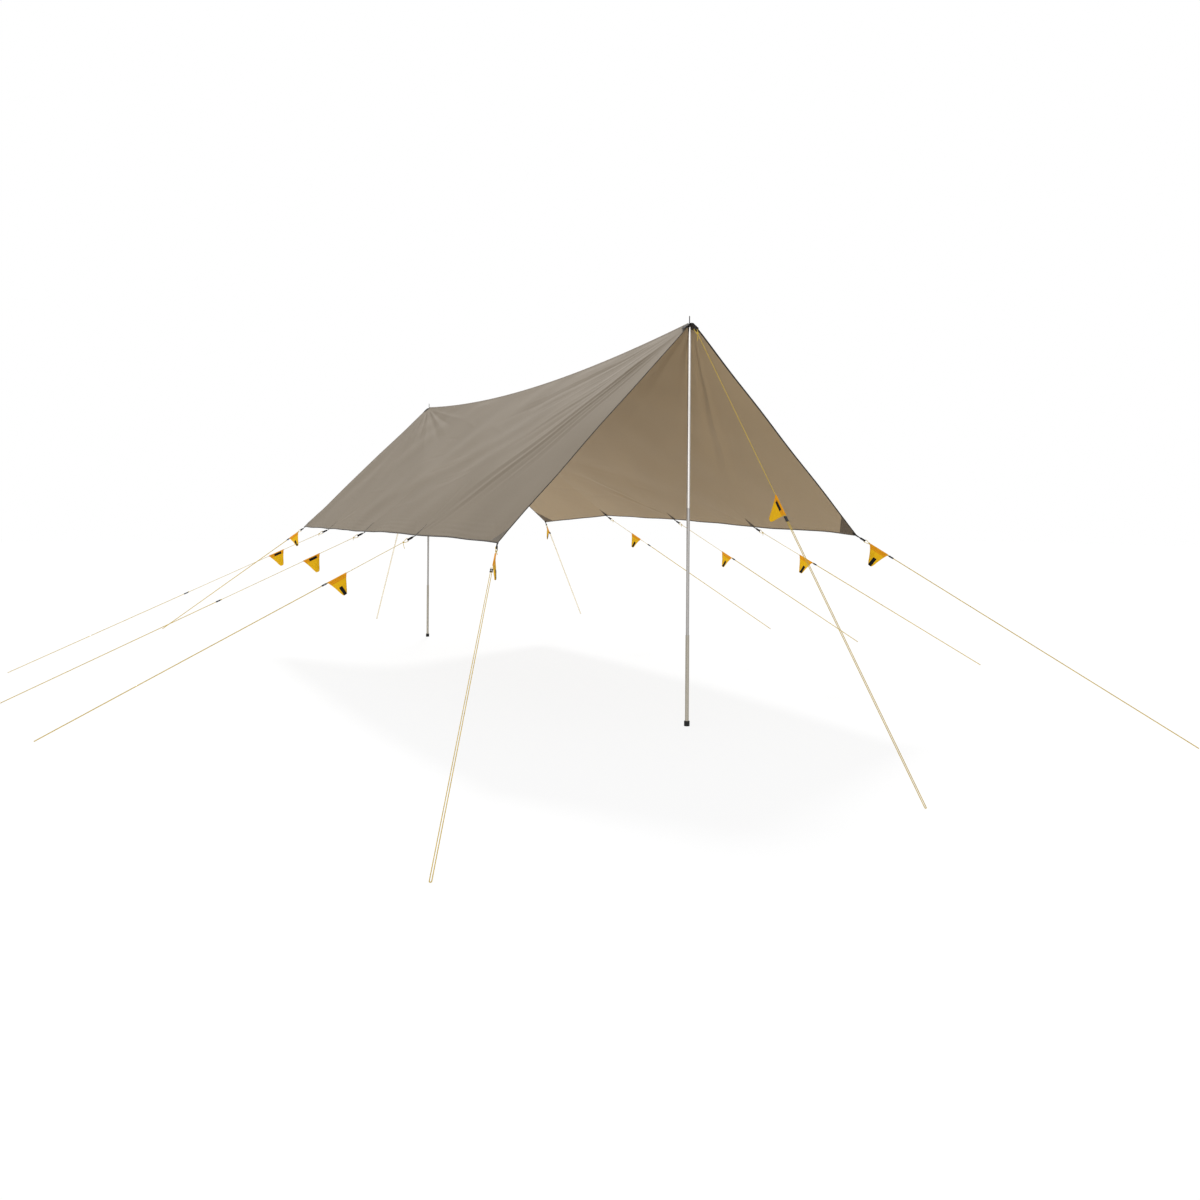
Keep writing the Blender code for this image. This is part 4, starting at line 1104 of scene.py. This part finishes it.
cap = {
    "leg": 0.050,
    "thickness": 0.0020,
    "lift": 0.0028,
    "flatHalf": 0.0108,      # level part round the eyelet
    "fillet": 0.004,
    "filletSteps": 8,
    "near": 2.2366,          # the strap's inner edge, from the ridge's middle
    "stitchOut": 0.0165,     # from the strap's middle
    "stitchEnd": 0.004,
    "eyeletBore": 0.0035,
    "eyeletBarrel": 0.0050,
    "eyeletClear": 0.0003,
    "eyeletHole": (1.95, 2.03),      # heights between which the strap is cut
    "eyeletFlange": 0.0085,
    "eyeletLow": 1.98875,
    "eyeletHigh": 1.99295,
    "eyeletSides": 48,
}


def capStitches(path, middle):
    # Seams along both long edges of the legs, and one across each end
    rows, ends = [], []
    for corner, tip in ((path[0], path[1]), (path[-1], path[-2])):
        run = (corner - tip).normalized()
        normal = Vector((0, 1, 0)).cross(run)
        ends.append((corner, tip, run, normal if normal.z > 0 else -normal))
    thick, out = cap["thickness"] / 2, cap["stitchOut"]
    for y in (middle - out, middle + out):
        for corner, tip, run, normal in ends:
            spots = [Vector((p.x, y, p.z)) + normal * thick for p in (tip, corner)]
            rows.append(stitches(spots, [normal, normal]))
    for corner, tip, run, normal in ends:
        spots = [corner - run * cap["stitchEnd"] + normal * thick + Vector((0, way * out, 0)) for way in (-1, 1)]
        rows.append(stitches(spots, [normal, normal]))
    return rows


def eyeletPart(centre):
    low, high, flange = cap["eyeletLow"], cap["eyeletHigh"], cap["eyeletFlange"]
    bore, barrel = cap["eyeletBore"], cap["eyeletBarrel"]
    profile = [(bore, low + 0.0006), (bore + 0.0005, low + 0.0001), (bore + 0.0012, low), (flange - 0.0008, low),
               (flange, low + 0.0004), (flange - 0.0002, low + 0.0008), (barrel, low + 0.0008),
               (barrel, high - 0.0008), (flange - 0.0002, high - 0.0008), (flange, high - 0.0004),
               (flange - 0.0008, high), (bore + 0.0012, high), (bore + 0.0005, high - 0.0001), (bore, high - 0.0006)]
    return lathe(profile, cap["eyeletSides"], centre)


def makeCaps():
    half, level = cap["flatHalf"], lineShape["ridgeTop"] - cap["thickness"] / 2
    legs = {}
    for side in outward:
        normal = max((slopeNormal(side, end) for end in (-1, 1)), key=lambda n: n.z)
        tips = clothAt(side, [(end, cap["leg"] / slopeWidth[side]) for end in (-1, 1)])
        legs[side] = max((tip + normal * cap["lift"] for tip in tips), key=lambda spot: spot.z)
    for end, sign in endSign.items():
        middle = sign * (cap["near"] + halfLength) / 2
        corners = [(legs["left"].x, legs["left"].z), (pitch["middleX"] - half, level),
                   (pitch["middleX"] + half, level), (legs["right"].x, legs["right"].z)]
        path = filleted([Vector((x, middle, z)) for x, z in corners], cap["fillet"], cap["filletSteps"])
        strap = addPiece(end + "_cap", [ribbon(path, Vector((0, 1, 0)), halfLength - cap["near"], cap["thickness"])],
                         "webbing", "canopy", "binding_webbing", end + "_ridge_cap")
        centre = Vector((pitch["middleX"], sign * pitch["halfSpan"], 0))
        low, high = (centre + Vector((0, 0, z)) for z in cap["eyeletHole"])
        cutAway(strap, rod(low, high, cap["eyeletBarrel"] + cap["eyeletClear"]))
        addPiece(end + "_cap_stitches", capStitches(path, middle), "thread", "canopy", "binding_webbing")
        addPiece(end + "_eyelet_ring", [eyeletPart(centre)], "steel", "canopy", "steel_eyelet", end + "_eyelet",
                 angle=50)
    print("caps and eyelets set")


makeCaps()


# Poles: foot tube with holes, middle and top tubes, tip, snap button, foot

pole = {
    "outer": 0.0095,
    "inner": 0.0082,
    "wall": 0.0008,
    "fit": 0.0003,           # between a tube and what plugs into it
    "footTubeLow": 0.0043,
    "footTubeTop": 0.450,
    "joint": 1.080,
    "spigot": 0.060,
    "holes": [0.034 + 0.033 * step for step in range(5)],
    "holeRadius": 0.0033,
    "drill": (0.002, 0.02),  # from and to, out from the axis
    "belowButton": 0.013,
    "buttonTravel": 0.004,
    "buttonRadius": 0.0028,
    "buttonSides": 32,
    "buttonReach": 0.0025,   # out of the foot tube
    "springRise": 0.046,
    "springWidth": 0.006,
    "springThickness": 0.0005,
    "shoulder": 1.98845,
    "collar": 0.012,
    "plug": 0.030,
    "spike": 0.045,
    "footRadius": 0.014,
    "footHeight": 0.026,
    "footFloor": 0.004,
    "footGrooves": (0.0075, 0.0115, 0.0155),
    "grooveHalf": 0.0008,
    "grooveDepth": 0.0006,
    "sides": 48,
}


def topProfile():
    # Top tube, necked at its low end to plug into the middle tube
    inner, wall, seat = pole["inner"], pole["wall"], pole["shoulder"] - pole["collar"]
    neck, start, low = inner - wall - pole["fit"], pole["joint"] + 0.0003, pole["joint"] - pole["spigot"]
    return [(inner - 0.0003, start), (inner, start + 0.0003), (inner, seat - 0.0005), (inner - 0.0002, seat - 0.0003),
            (inner - wall, seat - 0.0003), (inner - wall, start + wall * 2), (neck - wall, start + wall),
            (neck - wall, low), (neck, low), (neck, start)]


def tipProfile():
    inner, high = pole["inner"], pole["shoulder"]
    plug, seat, tip = inner - pole["wall"] - pole["fit"], high - pole["collar"], high + pole["spike"]
    return [(0, seat - pole["plug"]), (plug, seat - pole["plug"]), (plug, seat), (inner - 0.0003, seat),
            (inner, seat + 0.0003), (inner, seat + 0.0040), (inner - 0.0004, seat + 0.0044),
            (inner - 0.0004, seat + 0.0052), (inner, seat + 0.0056), (inner, high - 0.0008), (inner - 0.0008, high),
            (0.0030, high), (0.0025, high + 0.0006), (0.0025, tip - 0.005), (0.0022, tip - 0.0028),
            (0.0016, tip - 0.0011), (0.0010, tip - 0.0003), (0.0004, tip), (0, tip)]


def footProfile():
    outer, radius, tall, deep = pole["outer"], pole["footRadius"], pole["footHeight"], pole["footFloor"]
    profile = [(0, 0), (radius - 0.0025, 0), (radius - 0.0010, 0.0003), (radius - 0.0003, 0.0010), (radius, 0.0020)]
    for groove in pole["footGrooves"]:
        profile += [(radius, groove - pole["grooveHalf"]), (radius - pole["grooveDepth"], groove),
                    (radius, groove + pole["grooveHalf"])]
    return profile + [(radius, tall - 0.0015), (radius - 0.0005, tall - 0.0005), (radius - 0.0016, tall),
                      (outer + 0.0007, tall), (outer + 0.0003, tall - 0.0005), (outer + 0.0003, deep), (0, deep)]


def addButton(add):
    # Snap button, and the strip spring that presses it out through the tubes' holes
    hole, wide, thin = pole["holes"][-1], pole["springWidth"], pole["springThickness"]
    far = -(math.sqrt((pole["inner"] - pole["wall"]) ** 2 - (wide / 2) ** 2) - thin)
    near, crown = -far - thin * 2, hole + pole["springRise"]
    path = [Vector((0, y, z)) for y, z in ((far, hole - 0.003), (far, crown - 0.006), (far / 2, crown),
                                           (0, crown - 0.006), (near, hole + 0.003), (near, hole - 0.003))]
    reach, round_ = pole["outer"] + pole["buttonReach"], pole["buttonRadius"]
    dome = [(0, near), (round_, near), (round_, reach - 0.0014), (0.0025, reach - 0.0007), (0.0018, reach - 0.0002),
            (0.0008, reach), (0, reach)]
    button = lathe(dome, pole["buttonSides"], Vector((0, 0, hole)), Vector((0, 1, 0)), closed=False)
    add("button", button, "steel", "button", "spring_steel", "snap_button")
    spring = add("button_spring", ribbon(filleted(path, 0.003), Vector((1, 0, 0)), wide, thin), "steel", "pole",
                 "spring_steel", "snap_button")
    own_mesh(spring)  # own copy of the mesh; the whole spring stays with the pole, though the real near leg goes in with the button


def tubeProfile(outer, inner, low, high, soft=0.0002):
    return [(outer, low + soft), (outer, high - soft), (outer - soft, high), (inner + soft, high), (inner, high - soft),
            (inner, low + soft), (inner + soft, low), (outer - soft, low)]


def makePoles():
    outer, inner, wall, sides, holes = (pole[key] for key in ("outer", "inner", "wall", "sides", "holes"))
    for end, sign in endSign.items():
        base = (Matrix.Translation((pitch["middleX"], sign * pitch["halfSpan"], 0))
                @ Matrix.Rotation(0 if end == "front" else math.pi, 4, "Z"))
        facing = base.to_3x3() @ Vector((0, 1, 0))

        def add(piece, part, finish, body, slotName, node):
            return addPiece(f"{end}_{piece}", [placed(part, base)], finish, f"{end}_{body}", slotName,
                            f"{end}_{node}", angle=30)

        def drill(thing, heights):
            bits = [[base @ Vector((0, 0, z)) + facing * out for out in pole["drill"]] for z in heights]
            cutAway(thing, *[rod(*bit, pole["holeRadius"]) for bit in bits])

        footTube = lathe(tubeProfile(outer, outer - wall, pole["footTubeLow"], pole["footTubeTop"]), sides)
        drill(add("foot_tube", footTube, "footTube", "foot_tube", "foot_tube_aluminium", "lower_tube"), holes)
        middle = lathe(tubeProfile(inner, inner - wall, holes[-1] - pole["belowButton"], pole["joint"]), sides)
        # middle tube in its darker colour, a painted reflection
        drill(add("middle_section", middle, "middleTubePaintedReflection", "pole", "pole_aluminium", "middle_tube"), holes[-1:])
        add("top_section", lathe(topProfile(), sides), "pole", "pole", "pole_aluminium", "top_tube")
        add("tip", lathe(tipProfile(), sides, closed=False), "tipSteel", "pole", "pole_tip_steel", "pole_tip")
        add("foot_cap", lathe(footProfile(), sides), "rubber", "foot_tube", "foot_rubber", "foot")
        addButton(add)
    print("poles set up")


makePoles()


# Knots: where each line's eye is tied, and at the strand's end behind the slider

knot = {
    "size": 0.0024,
    "large": {"front_ridge": 1.6},
    "longTails": ("left_front", "front_ridge"),
    "tailSteps": (2, 6),     # for a short tail and a long one
    "tailDrop": 0.0047,
    "tailSway": (0.004, 0.001),
    "steps": 48,
    "lobes": 1.6,
    "girth": 0.62,
    "stopper": 0.0019,
    "stopperBehind": 0.0052,
    "sides": 10,
}


def knotPath(matrix, size):
    # Overhand knot: a trefoil
    turns = [math.tau * step / knot["steps"] for step in range(knot["steps"] + 1)]
    return [matrix @ Vector((size * math.sin(3 * t),
                             size * (math.sin(t) + knot["lobes"] * math.sin(2 * t)) * knot["girth"],
                             size * (math.cos(t) - knot["lobes"] * math.cos(2 * t)) * knot["girth"])) for t in turns]


def lineMatrix(name, along, aside=0.0):
    lines = lineFrames[name]
    axes = Matrix((lines["direction"], -lines["level"], lines["up"])).transposed()
    spot = lines["eye"] + lines["direction"] * (along - lineShape["loopReach"]) + lines["level"] * aside
    return Matrix.Translation(spot) @ axes.to_4x4()


def makeKnots():
    radius, sides, (along, aside) = lineShape["diameter"] / 2, knot["sides"], knot["tailSway"]
    for name, (_, _, _, sliderAt) in guyLines.items():
        shapes = random.Random(name)
        tied = lineMatrix(name, lineShape["loopReach"] + lineShape["knotFromEye"] + 0.001)
        turned = tied @ Matrix.Rotation(shapes.uniform(0, math.tau), 4, "X")
        lean = shapes.uniform(-0.4, 0.4)
        tail = [tied @ Vector(spot) for spot in ((0.001, 0.002, -0.002), (0.006, 0.004, -0.005))]
        for step in range(knot["tailSteps"][name in knot["longTails"]]):
            tail.append(tail[-1] + Vector((lean * along, aside * math.sin(step + 1), -knot["tailDrop"])))
        size = knot["size"] * knot["large"].get(name, 1)
        parts = [tube(knotPath(turned, size), radius, sides, caps=False), tube(smoothed(tail, 3), radius * 0.98, sides)]
        addPiece("knot_" + name, parts, "cord", "canopy", "cord", angle=60)
        stop = lineMatrix(name, sliderAt - lineShape["sliderLength"] / 2 - knot["stopperBehind"], lineShape["spacing"])
        stop = stop @ Matrix.Rotation(shapes.uniform(0, math.tau), 4, "X")
        stopper = tube(knotPath(stop, knot["stopper"]), radius, sides, caps=False)
        addPiece("stopper_" + name, [stopper], "cord", "canopy", "cord", angle=60)
    print("knots tied")


makeKnots()


def declareCords():
    for name in guyLines:
        points = lineRoute(name)


declareCords()


# Sliders: moulded blocks with a bore for each strand

slider = {
    "half": 0.014,
    "width": 0.0076,
    "waist": 0.0010,
    "thick": 0.0040,
    "bore": 0.0021,
    "steps": 28,
    "sides": 28,
    "grooves": (9, 11, 13, 15, 17, 19),      # of the steps
    "grooveDepth": 0.0005,
    "endNarrow": (0.10, 9),      # share of the width lost at the ends, and its power
    "endThin": (0.32, 7),
    "squareness": (0.45, 0.6),   # powers of cosine and sine round the section
    "borer": 0.02,               # half length
    "boreSides": 20,
}


def sliderPart():
    rings = []
    middle = -lineShape["spacing"] / 2
    (narrow, sharply), (thin, softly), (flat, steep) = slider["endNarrow"], slider["endThin"], slider["squareness"]
    for i in range(slider["steps"] + 1):
        x = -1 + 2 * i / slider["steps"]
        wide = (slider["width"] - slider["waist"] * (1 - x * x) ** 2) * (1 - narrow * abs(x) ** sharply)
        groove = slider["grooveDepth"] if i in slider["grooves"] else 0
        tall = slider["thick"] * (1 - thin * abs(x) ** softly) - groove
        ring = []
        for j in range(slider["sides"]):
            t = math.tau * j / slider["sides"]
            cosine, sine = math.cos(t), math.sin(t)
            ring.append(Vector((x * slider["half"], middle + wide * math.copysign(abs(cosine) ** flat, cosine),
                                tall * math.copysign(abs(sine) ** steep, sine))))
        rings.append(ring)
    return skin(rings, caps=True)


def makeSliders():
    first = addObject("slider_shape", toMesh("slider_shape", sliderPart()), finishes["slider"])
    reach = slider["borer"]
    cutAway(first, *[rod(Vector((-reach, y, 0)), Vector((reach, y, 0)), slider["bore"], slider["boreSides"])
                     for y in (0, -lineShape["spacing"])])
    shape = first.data
    bpy.data.objects.remove(first, do_unlink=True)
    for name, (_, _, _, sliderAt) in guyLines.items():
        mesh = shape.copy()
        mesh.transform(lineMatrix(name, sliderAt))
        block = addObject("tensioner_" + name, mesh, finishes["slider"])
        keep(block, "slider_on_" + name, "black_plastic", "slider_" + name)
    print("sliders threaded")


makeSliders()


# Pockets: small bags on the lines, with a band along the line and two tags

pocket = {
    "mouth": 0.112,
    "end": 0.027,
    "depth": 0.100,
    "full": 0.0042,
    "ply": 0.0008,
    "sleeve": 0.0033,
    "sleeveOver": 0.0007,
    "sleeveBore": 0.0021,
    "sleeveSides": 24,
    "sleeveSoft": 0.0003,
    "sewnLine": 0.0075,      # the casing's stitches below the line
    "band": (0.0015, 0.0205),        # from and to, below the line
    "bandLift": 0.0007,
    "bandTuck": 0.0002,      # of its edges into the bag
    "hollowSides": 0.0030,
    "crumple": 0.0011,
    "crumplePace": (75, 60), # across and down
    "bend": 2.2,             # of the crumple's height
    "bendPace": 28,
    "seeds": (3.7, 1.3),     # step and start
    "cells": (36, 26),       # down and across each face
    "uvAcross": 0.004,
    "bandCells": (12, 24),
    "bandUv": (0.0016, 0.0045),
    "tagLength": 0.053,
    "tags": (                # centre across and down, turn, width, lift: on the band, and at the end of the other face
        (-0.006, 0.0105, 0.0, 0.0175, 0.0016),
        (0.002, 0.100 - 0.053 * 0.47, math.pi / 2 + 0.16, 0.020, 0.0014),
    ),
    "tagCells": (16, 8),
    "tagRim": (0.5, 0.4),    # share of a cell that the tucked outer cells lack
    "tagTuck": 0.0003,
    "bandTagShows": ("left_middle", "left_rear", "front_ridge"),
    "sideSeam": (0.22, 0.97, 24),    # from and to, shares of the depth, and its steps
    "sideSeamIn": 0.0032,
    "sideSeamLift": 0.0001,
    "rowSeamIn": (0.002, 0.0025),    # from the sides, and from the band's edge
    "rowSeamLift": 0.0008,
    "rowSeamSteps": 30,
}


def pocketHalf(b):
    hollow = pocket["hollowSides"] * math.sin(math.pi * b)
    return pocket["mouth"] / 2 + (pocket["end"] - pocket["mouth"]) / 2 * b - hollow


def pocketPoint(a, b, face, seed, over=0.0):
    # a across from -1 to 1, b down from 0 to 1, on one face of the bag
    def rise(low, high, value):
        return float(smoothStep(low, high, value))
    drop = pocket["depth"] * b
    corner = 1 - 0.055 * abs(a) ** 5 * rise(0.75, 1.0, b)
    casing = rise(0, pocket["sewnLine"], drop)
    swell = rise(pocket["sewnLine"] * 0.9, pocket["depth"] * 0.45, drop) * (1 - 0.45 * rise(0.6, 1, b))
    edge = max(1 - abs(a) ** 2.4, 0) ** 0.75
    thick = pocket["sleeve"] * (1 - casing) + pocket["ply"] + pocket["full"] * swell * edge
    x = a * pocketHalf(b)
    pace, (across, down), crumple = pocket["bendPace"], pocket["crumplePace"], pocket["crumple"]
    bend = noise.noise(Vector((x * pace, drop * pace, seed))) * crumple * pocket["bend"] * rise(0.05, 0.4, b)
    ripple = noise.noise(Vector((x * across, drop * down, seed + face * 9.1))) * crumple * edge * rise(0.08, 0.3, b)
    return Vector((x, face * (thick + over + ripple) + bend, -drop * corner))


def pocketAt(x, drop, face, seed, over):
    b = drop / pocket["depth"]
    return pocketPoint(max(-1, min(1, x / pocketHalf(b))), b, face, seed, over)


def tagPart(centreX, centreDrop, turn, width, over, face, seed):
    # Strap laid on a face of the bag, with its edges tucked to the cloth
    length, (longs, wides), (rimLong, rimWide) = pocket["tagLength"], pocket["tagCells"], pocket["tagRim"]
    rings = []
    for i in range(longs + 1):
        t = max(-1, min(1, (i - longs / 2) / (longs / 2 - rimLong)))
        ring = []
        for j in range(wides + 1):
            w = max(-1, min(1, (j - wides / 2) / (wides / 2 - rimWide)))
            x = centreX + math.cos(turn) * t * length / 2 - math.sin(turn) * w * width / 2
            drop = centreDrop + math.sin(turn) * t * length / 2 + math.cos(turn) * w * width / 2
            lift = -pocket["tagTuck"] if i in (0, longs) or j in (0, wides) else over
            ring.append(pocketAt(x, min(max(drop, 0.002), pocket["depth"]), face, seed, lift))
        rings.append(ring)
    return skin(rings, False, [i * length / longs for i in range(longs + 1)],
                [j * width / wides for j in range(wides + 1)])


def bagPart(seed):
    downs, acrosses = pocket["cells"]
    rings = [[pocketPoint(face * (-1 + 2 * j / acrosses), i / downs, face, seed)
              for face in (1, -1) for j in range(acrosses + 1)] for i in range(downs + 1)]
    return skin(rings, along=[pocket["depth"] * i / downs for i in range(downs + 1)],
                across=[pocket["uvAcross"] * j for j in range(2 * acrosses + 3)], caps=True)


def bandParts(seed):
    # Sleeve round the line, and a strip of cloth on each face; their deeper orange is painted shade of the double layer
    # seen against the light
    half, outer = pocket["mouth"] / 2, pocket["sleeve"] + pocket["sleeveOver"]
    profile = tubeProfile(outer, pocket["sleeveBore"], -half, half, pocket["sleeveSoft"])
    parts = [lathe(profile, pocket["sleeveSides"], axis=Vector((1, 0, 0)))]
    (top, low), (downs, acrosses), (downUv, acrossUv) = pocket["band"], pocket["bandCells"], pocket["bandUv"]
    for face in (1, -1):
        rows = []
        for i in range(downs + 1):
            drop = top + (low - top) * i / downs
            lift = -pocket["bandTuck"] if i in (0, downs) else pocket["bandLift"]
            rows.append([pocketAt(pocketHalf(drop / pocket["depth"]) * (-1 + 2 * j / acrosses), drop, face, seed, lift)
                         for j in range(acrosses + 1)])
        parts.append(skin(rows, False, [downUv * i for i in range(downs + 1)],
                          [acrossUv * j for j in range(acrosses + 1)]))
    return parts


def bagSeams(seed, matrix):
    (fromSide, fromBand), steps = pocket["rowSeamIn"], pocket["rowSeamSteps"]
    rows = []
    for face in (1, -1):
        normal = matrix.to_3x3() @ Vector((0, face, 0))
        seams = [[pocketAt(way * (pocketHalf(b) - pocket["sideSeamIn"]), pocket["depth"] * b, face, seed,
                           pocket["sideSeamLift"]) for b in np.linspace(*pocket["sideSeam"])] for way in (-1, 1)]
        for drop in (pocket["sewnLine"], pocket["band"][1] - fromBand):
            reach = pocketHalf(drop / pocket["depth"]) - fromSide
            seams.append([pocketAt(-reach + 2 * reach * j / steps, drop, face, seed, pocket["rowSeamLift"])
                          for j in range(steps + 1)])
        rows += [stitches([matrix @ spot for spot in seam], [normal] * len(seam), "bag") for seam in seams]
    return rows


def makePockets():
    camera, (seedStep, seedStart) = Vector(cameraView["place"]), pocket["seeds"]
    for index, (name, (_, _, start, _)) in enumerate(guyLines.items()):
        matrix = lineMatrix(name, start + pocket["mouth"] / 2)
        seed = seedStep * index + seedStart
        body = "pocket_on_" + name
        toCamera = matrix.to_3x3() @ Vector((0, 1, 0))
        shown = 1 if (camera - matrix.translation).dot(toCamera) > 0 else -1
        bandFace = shown if name in pocket["bandTagShows"] else -shown
        bag = placed(bagPart(seed), matrix)
        addPiece("bag_" + name, [bag], "pocket", body, "pocket_cloth", "pocket_" + name, angle=70)
        bands = [placed(part, matrix) for part in bandParts(seed)]
        addPiece("band_" + name, bands, "pocketBandPaintedShade", body, "pocket_cloth", angle=60)
        tags = [placed(tagPart(*tag, face, seed), matrix) for tag, face in zip(pocket["tags"], (bandFace, -bandFace))]
        addPiece("tags_" + name, tags, "tag", body, "black_plastic", angle=50)
        addPiece("bag_stitches_" + name, bagSeams(seed, matrix), "pocketThread", body, "pocket_cloth")
    print("pockets hung:", len(guyLines))


makePockets()


# Floor, lights and world

studio = {
    "floorSize": 90.0,
    "floorColour": (246, 246, 246),
    "floorRoughness": 0.9,
    "floorWhite": 0.88,      # share of plain white that the camera sees in the floor
    "skyStrength": 0.62,
    "keyStrength": 2.7,
    "keyAngle": 9.0,        # degrees across, for soft shadows
    "keyFrom": (0.28, 0.66, 0.69),
    "fillStrength": 1.0,
    "fillAngle": 60.0,
    "fillFrom": (-0.50, -0.86, 0.08),
}


def whiteForCamera(tree, behind, white, share, output):
    # Plain white to camera, glossy and transmission rays, by share; the shader behind to the rest
    path = addNode(tree, "LightPath", {}).outputs
    seen = sums(tree, "MAXIMUM", path["Is Camera Ray"], path["Is Glossy Ray"])
    seen = sums(tree, "MAXIMUM", seen, path["Is Transmission Ray"])
    mix = addNode(tree, "MixShader", {0: sums(tree, "MULTIPLY", seen, share), 1: behind, 2: white})
    feed(tree, tree.nodes[output], {"Surface": mix.outputs[0]})


def makeStudio():
    scene = bpy.context.scene
    scene.view_settings.view_transform = "Standard"
    scene.world = bpy.data.worlds.new("studio")
    scene.world.use_nodes = True
    tree, white = scene.world.node_tree, (1, 1, 1, 1)
    sky = feed(tree, tree.nodes["Background"], {"Color": white, "Strength": studio["skyStrength"]})
    plain = addNode(tree, "Background", {"Color": white, "Strength": 1})
    whiteForCamera(tree, sky.outputs[0], plain.outputs[0], 1.0, "World Output")
    half = studio["floorSize"] / 2
    mesh = toMesh("floor", skin([[(-half, y, 0), (half, y, 0)] for y in (-half, half)], False))
    made, tree, shader = newFinish("floor_white", studio["floorColour"], studio["floorRoughness"])
    glow = addNode(tree, "Emission", {"Strength": 1})
    whiteForCamera(tree, shader.outputs[0], glow.outputs[0], studio["floorWhite"], "Material Output")
    addObject("floor", mesh, made)
    for name in ("key", "fill"):
        light = bpy.data.lights.new(name, "SUN")
        light.energy = studio[name + "Strength"]
        light.angle = math.radians(studio[name + "Angle"])
        lamp = bpy.data.objects.new(name, light)
        lamp.rotation_euler = Vector(studio[name + "From"]).to_track_quat("Z", "Y").to_euler()
        scene.collection.objects.link(lamp)
    print("studio set")


makeStudio()
